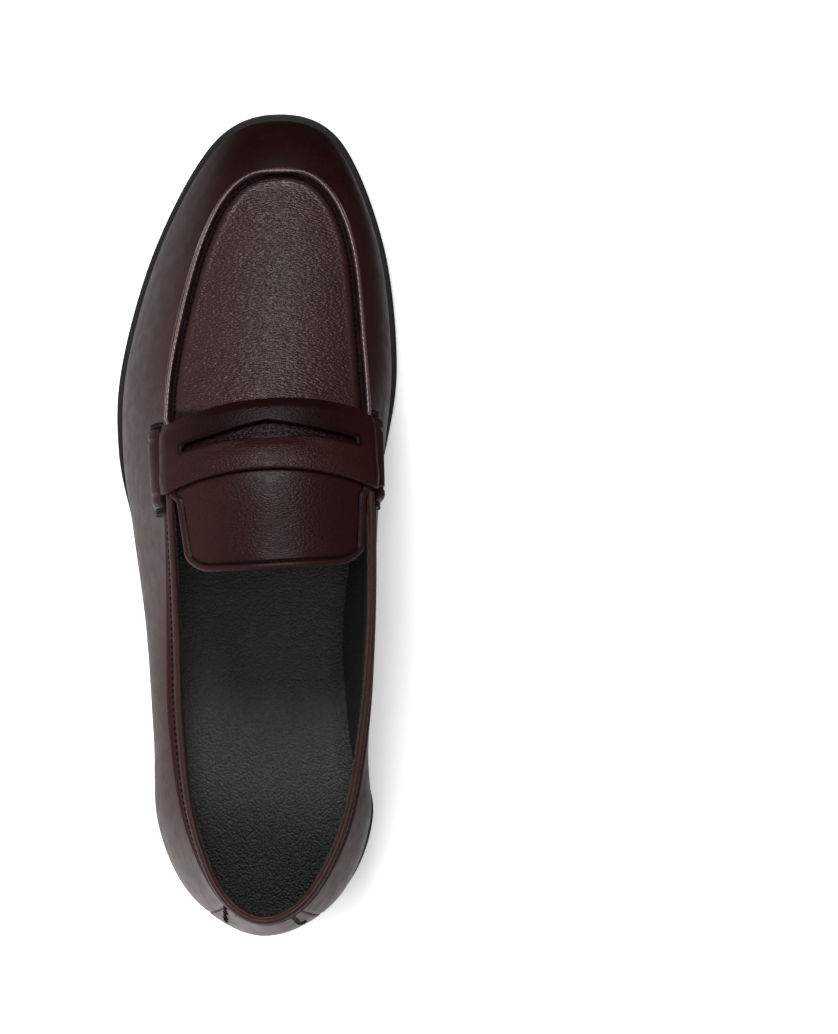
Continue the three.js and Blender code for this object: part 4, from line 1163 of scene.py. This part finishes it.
class LOAFER_OT_tongue(bpy.types.Operator):
    """Builds the tongue with its folded rim and stitching, and its lining"""
    bl_idname = "loafer.tongue"
    bl_label = "Tongue"
    bl_options = {"REGISTER", "UNDO"}

    def execute(self, context):
        def top(d, p):
            """A folded rim about 2.3 mm wide, then a stitched groove, then the flat."""
            return 0.1 - rounded(d, 0.7) + 0.4 * bump(d, 1.2, 2.4) - 0.5 * bump(d, 2.6, 1.0)

        # Painted light across the tongue: lighter towards the outer side, darker towards the inner side.
        sides = lambda x: 0.2 * smooth((x + 12) / 18) - 0.2 * smooth((-6 - x) / 10)

        def tone(d, p):
            """Darker along the groove and over the inner half, as painted shade; lighter on the rim and the
            outer edge, as painted highlight.
            """
            rim = 0.6 * bump(d, 2.6, 2.0) - 0.2 * bump(d, 1.0, 1.6)
            return np.clip(0.2 + rim + sides(p[..., 0]), 0, 1)

        grain = lambda d, p: np.clip(0.15 + 0.6 * smooth((d - 3) / 5), 0, 1)
        outline = tongue_outline(9.5)
        tongue = disc_piece("tongue_leather", outline, (8, -1), apron_height, top,
                            lambda d, p: 0 * d - 1.3, fine_zone=4.5, fine=0.2, coarse=0.9, radius=0.5,
                            attributes={"burnish_and_painted_light": tone, "grain": grain})
        finish_piece(tongue, material("Strap calf"), None, "strap_leather", "tongue")
        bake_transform(tongue)
        under = disc_piece("tongue_lining_leather", tongue_outline(9.0, 0.7), (8, -1), apron_height,
                           lambda d, p: 0 * d - 1.25, lambda d, p: 0 * d - 1.95,
                           fine_zone=3, fine=0.6, coarse=2, radius=0.4)
        finish_piece(under, material("Black pigskin"), None, "black_lining", "tongue_lining")
        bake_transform(under)
        # The seam runs 2.6 mm inside the outline, from one side of the root round to the other.
        ahead = unit(np.roll(outline, -1, 0) - np.roll(outline, 1, 0))
        side = np.stack([-ahead[:, 1], ahead[:, 0]], -1)
        side = side * np.sign(np.sum((np.array([8, -1]) - outline) * side))
        line = outline + side * 2.6
        line = line[line[:, 1] < 4]
        line = line[np.argsort(np.arctan2(line[:, 0] - 8, 30 + line[:, 1]))]
        points = np.concatenate([line, (apron_height(line[:, 0], line[:, 1]) - 0.2)[:, None]], -1)
        normals = np.broadcast_to(np.array([0, 0, 1.0]), points.shape)
        pitch = sizes().stitch / MM
        a, b, n = along_curve(points, normals, pitch, pitch * 0.65)
        sewn = threads("tongue_stitches", a, b, n, 0.16, 0.12)
        finish_piece(sewn, material("Waxed thread"), None, "strap_leather")
        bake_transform(sewn)
        return {"FINISHED"}


class LOAFER_OT_binding(bpy.types.Operator):
    """Builds the binding folded over the topline, its raw edge and the stitching below it"""
    bl_idname = "loafer.binding"
    bl_label = "Topline"
    bl_options = {"REGISTER", "UNDO"}

    def execute(self, context):
        n = 1100
        reach = 0.262
        u = np.linspace(-reach, reach, n)
        t = upper_edge(u)
        tangent = unit(upper_edge(u + 1e-3) - upper_edge(u - 1e-3))
        up = unit(t - wall(u, 0.95))
        out = unit(np.cross(tangent, up))
        plan = np.concatenate([outward(u), np.zeros((n, 1))], -1)
        out = out * np.sign(np.sum(out * plan, -1, keepdims=True))
        fall = 1 - smooth((np.abs(u) - 0.246) / 0.012)
        # x runs outwards and y upwards from the wall's edge: a lower rim, a stitched channel, a round crest.
        profile = np.array([
            (0.0, -7.0), (0.3, -6.85), (0.55, -6.5), (0.6, -6.2), (0.5, -5.9), (0.25, -5.6), (0.1, -5.2),
            (0.08, -4.2), (0.12, -3.1), (0.3, -2.6), (0.6, -2.1), (0.82, -1.5), (0.82, -0.8), (0.6, -0.15),
            (0.15, 0.3), (-0.35, 0.4), (-0.8, 0.2), (-1.1, -0.25), (-1.25, -0.9), (-1.3, -1.6), (-1.1, -2.5),
            (-0.7, -4.0), (-0.6, -6.8)])
        # Tone at each profile point: darker in the stitched channel and on the inner face, as painted shade;
        # lighter on the lower rim and the crest, as painted highlight.
        tone = np.array([0.3, 0.2, -0.2, -0.5, -0.2, 0.4, 0.9, 1.0, 1.0, 0.9, 0.4, 0.0, -0.3, -0.4,
                         -0.4, -0.2, 0.2, 0.7, 1.0, 1.0, 1.0, 1.0, 1.0])
        rows = np.repeat(profile[None], n, 0)
        rows[..., 1] -= 0.5 * (1 - fall)[:, None]
        binding = swept_piece("topline_binding_leather", t, out, up, rows, False,
                              {"burnish_and_painted_light": tone[None], "grain": np.full((1, 1), 0.3)})
        finish_piece(binding, material("Binding calf"), SHOE, "binding_leather", "topline_binding")
        edge = np.array([(-1.1, -0.35), (-1.5, -0.5), (-1.78, -1.0), (-1.7, -1.6), (-1.2, -1.4)])
        raw = swept_piece("topline_raw_edge", t, out, up, edge, False)
        finish_piece(raw, material("Raw tan edge"), SHOE, "binding_leather")
        pitch = sizes().stitch / MM
        line = (t - up * 3.6 + out * 0.16)[np.abs(u) < 0.25]
        a, b, normal = along_curve(line, out[np.abs(u) < 0.25], pitch, pitch * 0.66)
        sewn = threads("topline_stitches", a, b, normal, 0.2, 0.14)
        finish_piece(sewn, material("Waxed thread"), SHOE, "binding_leather")
        self.heel_stitches()
        return {"FINISHED"}

    def heel_stitches(self):
        """A chain of knots down the outer heel seam, and a hooked row of stitches down the inner one."""
        m = np.linspace(0, 1, 7)
        u, v = 0.0395 - 0.011 * m, 0.9 - 0.36 * m
        lean = np.where(np.arange(7) % 2 == 0, 1, -0.4)
        a = wall(u + 0.0022, v + 0.016 * lean)
        b = wall(u - 0.0022, v - 0.026 * lean)
        knot = wall(np.array([0.0275, 0.0265]), np.array([0.9, 0.86]))
        a, b = np.concatenate([a, knot[:1]]), np.concatenate([b, knot[1:]])
        n = unit(np.concatenate([outward(np.full(8, 0.03)), np.full((8, 1), 0.3)], -1))
        chain = threads("heel_chain_stitches", a + n * 0.05, b + n * 0.05, n, 0.34, 0.15)
        finish_piece(chain, material("Waxed thread"), SHOE, "wall_leather")
        u = np.array([-0.0305, -0.0285, -0.0295, -0.0272, -0.0285, -0.0262, -0.0275])
        v = np.array([0.93, 0.92, 0.78, 0.77, 0.63, 0.62, 0.55])
        u2 = np.array([-0.0292, -0.0272, -0.0282, -0.0262, -0.0262, -0.0275, -0.0318])
        v2 = np.array([0.76, 0.75, 0.61, 0.6, 0.56, 0.54, 0.55])
        n = unit(np.concatenate([outward(np.full(7, -0.03)), np.full((7, 1), 0.3)], -1))
        tab = threads("heel_tab_stitches", wall(u, v) + n * 0.08, wall(u2, v2) + n * 0.08, n, 0.4, 0.15)
        finish_piece(tab, material("Waxed thread"), SHOE, "wall_leather")


class LOAFER_OT_hidden_parts(bpy.types.Operator):
    """Finishes the parts kept from the frame: shank, cork, board, cushion, stiffeners and nails"""
    bl_idname = "loafer.hidden_parts"
    bl_label = "Inner parts"
    bl_options = {"REGISTER", "UNDO"}

    def execute(self, context):
        finishes = {
            "cork_filler": "Granulated cork", "shank": "Spring steel", "insole_board": "Leatherboard",
            "heel_cushion": "Latex foam", "heel_counter": "Leatherboard",
            "side_reinforcement_outer": "Leatherboard", "side_reinforcement_inner": "Leatherboard",
            "toe_puff": "Cotton canvas", **{f"heel_nail_{k}": "Spring steel" for k in range(1, 6)},
        }
        for name, finish in finishes.items():
            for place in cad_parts[name].material_slots:
                place.material = material(finish)
        return {"FINISHED"}


class LOAFER_OT_stage(bpy.types.Operator):
    """Lays the pale floor, lights it softly and sets the camera straight above"""
    bl_idname = "loafer.stage"
    bl_label = "Stage"
    bl_options = {"REGISTER", "UNDO"}

    def execute(self, context):
        scene = bpy.context.scene
        # A shallow bowl: flat under the shoe and curving up all round, far outside the view.
        r = np.concatenate([np.linspace(0.02, 2.2, 24), 2.2 + 2.6 * np.sin(np.linspace(0.05, 1.5, 24))])
        z = np.concatenate([np.zeros(24), 2.6 * (1 - np.cos(np.linspace(0.05, 1.5, 24)))])
        angle = np.linspace(0, 2 * np.pi, 96, endpoint=False)
        p = np.stack([r[:, None] * np.cos(angle), r[:, None] * np.sin(angle), z[:, None] + 0 * angle], -1)
        mesh = bpy.data.meshes.new("studio_floor")
        cap = [list(range(96))]
        mesh.from_pydata(p.reshape(-1, 3), [], grid_quads(48, 96, 0, loop_j=True).tolist() + cap)
        mesh.shade_smooth()
        floor = bpy.data.objects.new("studio_floor", mesh)
        scene.collection.objects.link(floor)
        paper, _, shader = new_material("Backlit paper")
        shader.inputs["Base Color"].default_value = tuple(colours().floor)
        shader.inputs["Roughness"].default_value = 0.9
        shader.inputs["Specular IOR Level"].default_value = 0.1
        shader.inputs["Emission Color"].default_value = (1, 1, 1, 1)
        shader.inputs["Emission Strength"].default_value = 0.38
        mesh.materials.append(paper)
        floor.visible_glossy = False
        floor.visible_diffuse = False
        floor.visible_shadow = False

        world = bpy.data.worlds.new("Soft studio")
        world.use_nodes = True
        scene.world = world
        tree = world.node_tree
        tree.nodes.clear()
        # Soft light by direction: low and wide from the outer side and behind, dim from above and in front.
        place = node(tree, "ShaderNodeTexCoord")
        parts = node(tree, "ShaderNodeSeparateXYZ", {0: place.outputs["Generated"]})
        lean = node(tree, "ShaderNodeMath", {0: parts.outputs[1], 1: 0.45, 2: parts.outputs[0]},
                    operation="MULTIPLY_ADD")
        left = node(tree, "ShaderNodeMapRange", {0: lean.outputs[0], 1: 0.0, 2: -0.7, 3: 0.0, 4: 0.9},
                    interpolation_type="SMOOTHSTEP")
        behind = node(tree, "ShaderNodeMapRange", {0: parts.outputs[1], 1: 0.0, 2: -0.35, 3: 0.0, 4: 0.75},
                      interpolation_type="SMOOTHSTEP")
        low = node(tree, "ShaderNodeMapRange", {0: parts.outputs[2], 1: 1.0, 2: -0.5, 3: 0.12, 4: 1.0},
                   interpolation_type="SMOOTHSTEP")
        above = node(tree, "ShaderNodeMapRange", {0: parts.outputs[2], 1: 0.3, 2: 1.0, 3: 0.0, 4: 0.22},
                     interpolation_type="SMOOTHSTEP")
        side = node(tree, "ShaderNodeMath", {0: left.outputs[0], 1: behind.outputs[0]}, operation="ADD")
        wide = node(tree, "ShaderNodeMath", {0: side.outputs[0], 1: low.outputs[0]}, operation="MULTIPLY")
        total = node(tree, "ShaderNodeMath", {0: wide.outputs[0], 1: above.outputs[0]}, operation="ADD")
        under = node(tree, "ShaderNodeMapRange", {0: parts.outputs[2], 1: -0.86, 2: -1.0, 3: 0.03, 4: 0.7},
                     interpolation_type="SMOOTHSTEP")
        base = node(tree, "ShaderNodeMath", {0: total.outputs[0], 1: under.outputs[0]}, operation="ADD")
        sky = node(tree, "ShaderNodeBackground", {"Strength": base.outputs[0]})
        node(tree, "ShaderNodeOutputWorld", {"Surface": sky.outputs[0]})

        def softbox(name, place, size, power, target=(0, 0, 0.05)):
            light = bpy.data.lights.new(name, "AREA")
            light.shape = "DISK"
            light.size = size
            light.energy = power
            lamp = bpy.data.objects.new(name, light)
            turn = (Vector(target) - Vector(place)).to_track_quat("-Z", "Y").to_matrix().to_4x4()
            lamp.matrix_world = Matrix.Translation(place) @ turn
            scene.collection.objects.link(lamp)
            return lamp

        softbox("key_front", (-0.05, 1.0, 1.15), 0.55, 9.5)
        softbox("overhead", (0.1, -0.1, 1.6), 0.7, 2.6)
        paper_light = softbox("paper_light", (-0.6, 0.1, 1.6), 1.4, 38)
        only = bpy.data.collections.new("paper_only")
        only.objects.link(floor)
        paper_light.light_linking.receiver_collection = only

        lens = bpy.data.cameras.new("camera")
        lens.sensor_width = 36
        lens.lens = 3250 / 1034 * 36
        camera = bpy.data.objects.new("camera", lens)
        eye = to_frame(np.array([59.8, 0.5, 1200.0]))
        camera.matrix_world = Matrix.Translation(eye.tolist())
        scene.collection.objects.link(camera)
        scene.camera = camera
        scene.view_settings.view_transform = "Standard"
        return {"FINISHED"}


STEPS = (
    LOAFER_OT_materials, LOAFER_OT_stage, LOAFER_OT_sole, LOAFER_OT_sock, LOAFER_OT_wall, LOAFER_OT_apron,
    LOAFER_OT_strap, LOAFER_OT_tongue, LOAFER_OT_binding, LOAFER_OT_hidden_parts,
)


class LOAFER_PT_panel(bpy.types.Panel):
    """Sizes, colours and building steps of the loafer"""
    bl_label = "Penny loafer"
    bl_idname = "LOAFER_PT_panel"
    bl_space_type = "VIEW_3D"
    bl_region_type = "UI"
    bl_category = "Loafer"

    def draw(self, context):
        for group in (context.scene.loafer_colours, context.scene.loafer_sizes):
            box = self.layout.box()
            for key in group.__annotations__:
                box.prop(group, key)
        for step in STEPS:
            self.layout.operator(step.bl_idname)


CLASSES = (LoaferColours, LoaferSizes, *STEPS, LOAFER_PT_panel)


def register():
    for each in CLASSES:
        bpy.utils.register_class(each)
    bpy.types.Scene.loafer_colours = bpy.props.PointerProperty(type=LoaferColours)
    bpy.types.Scene.loafer_sizes = bpy.props.PointerProperty(type=LoaferSizes)


def unregister():
    del bpy.types.Scene.loafer_colours
    del bpy.types.Scene.loafer_sizes
    for each in reversed(CLASSES):
        bpy.utils.unregister_class(each)


def main():
    register()
    for step in STEPS:
        group, name = step.bl_idname.split(".")
        getattr(getattr(bpy.ops, group), name)()


if __name__ == "__main__":
    main()
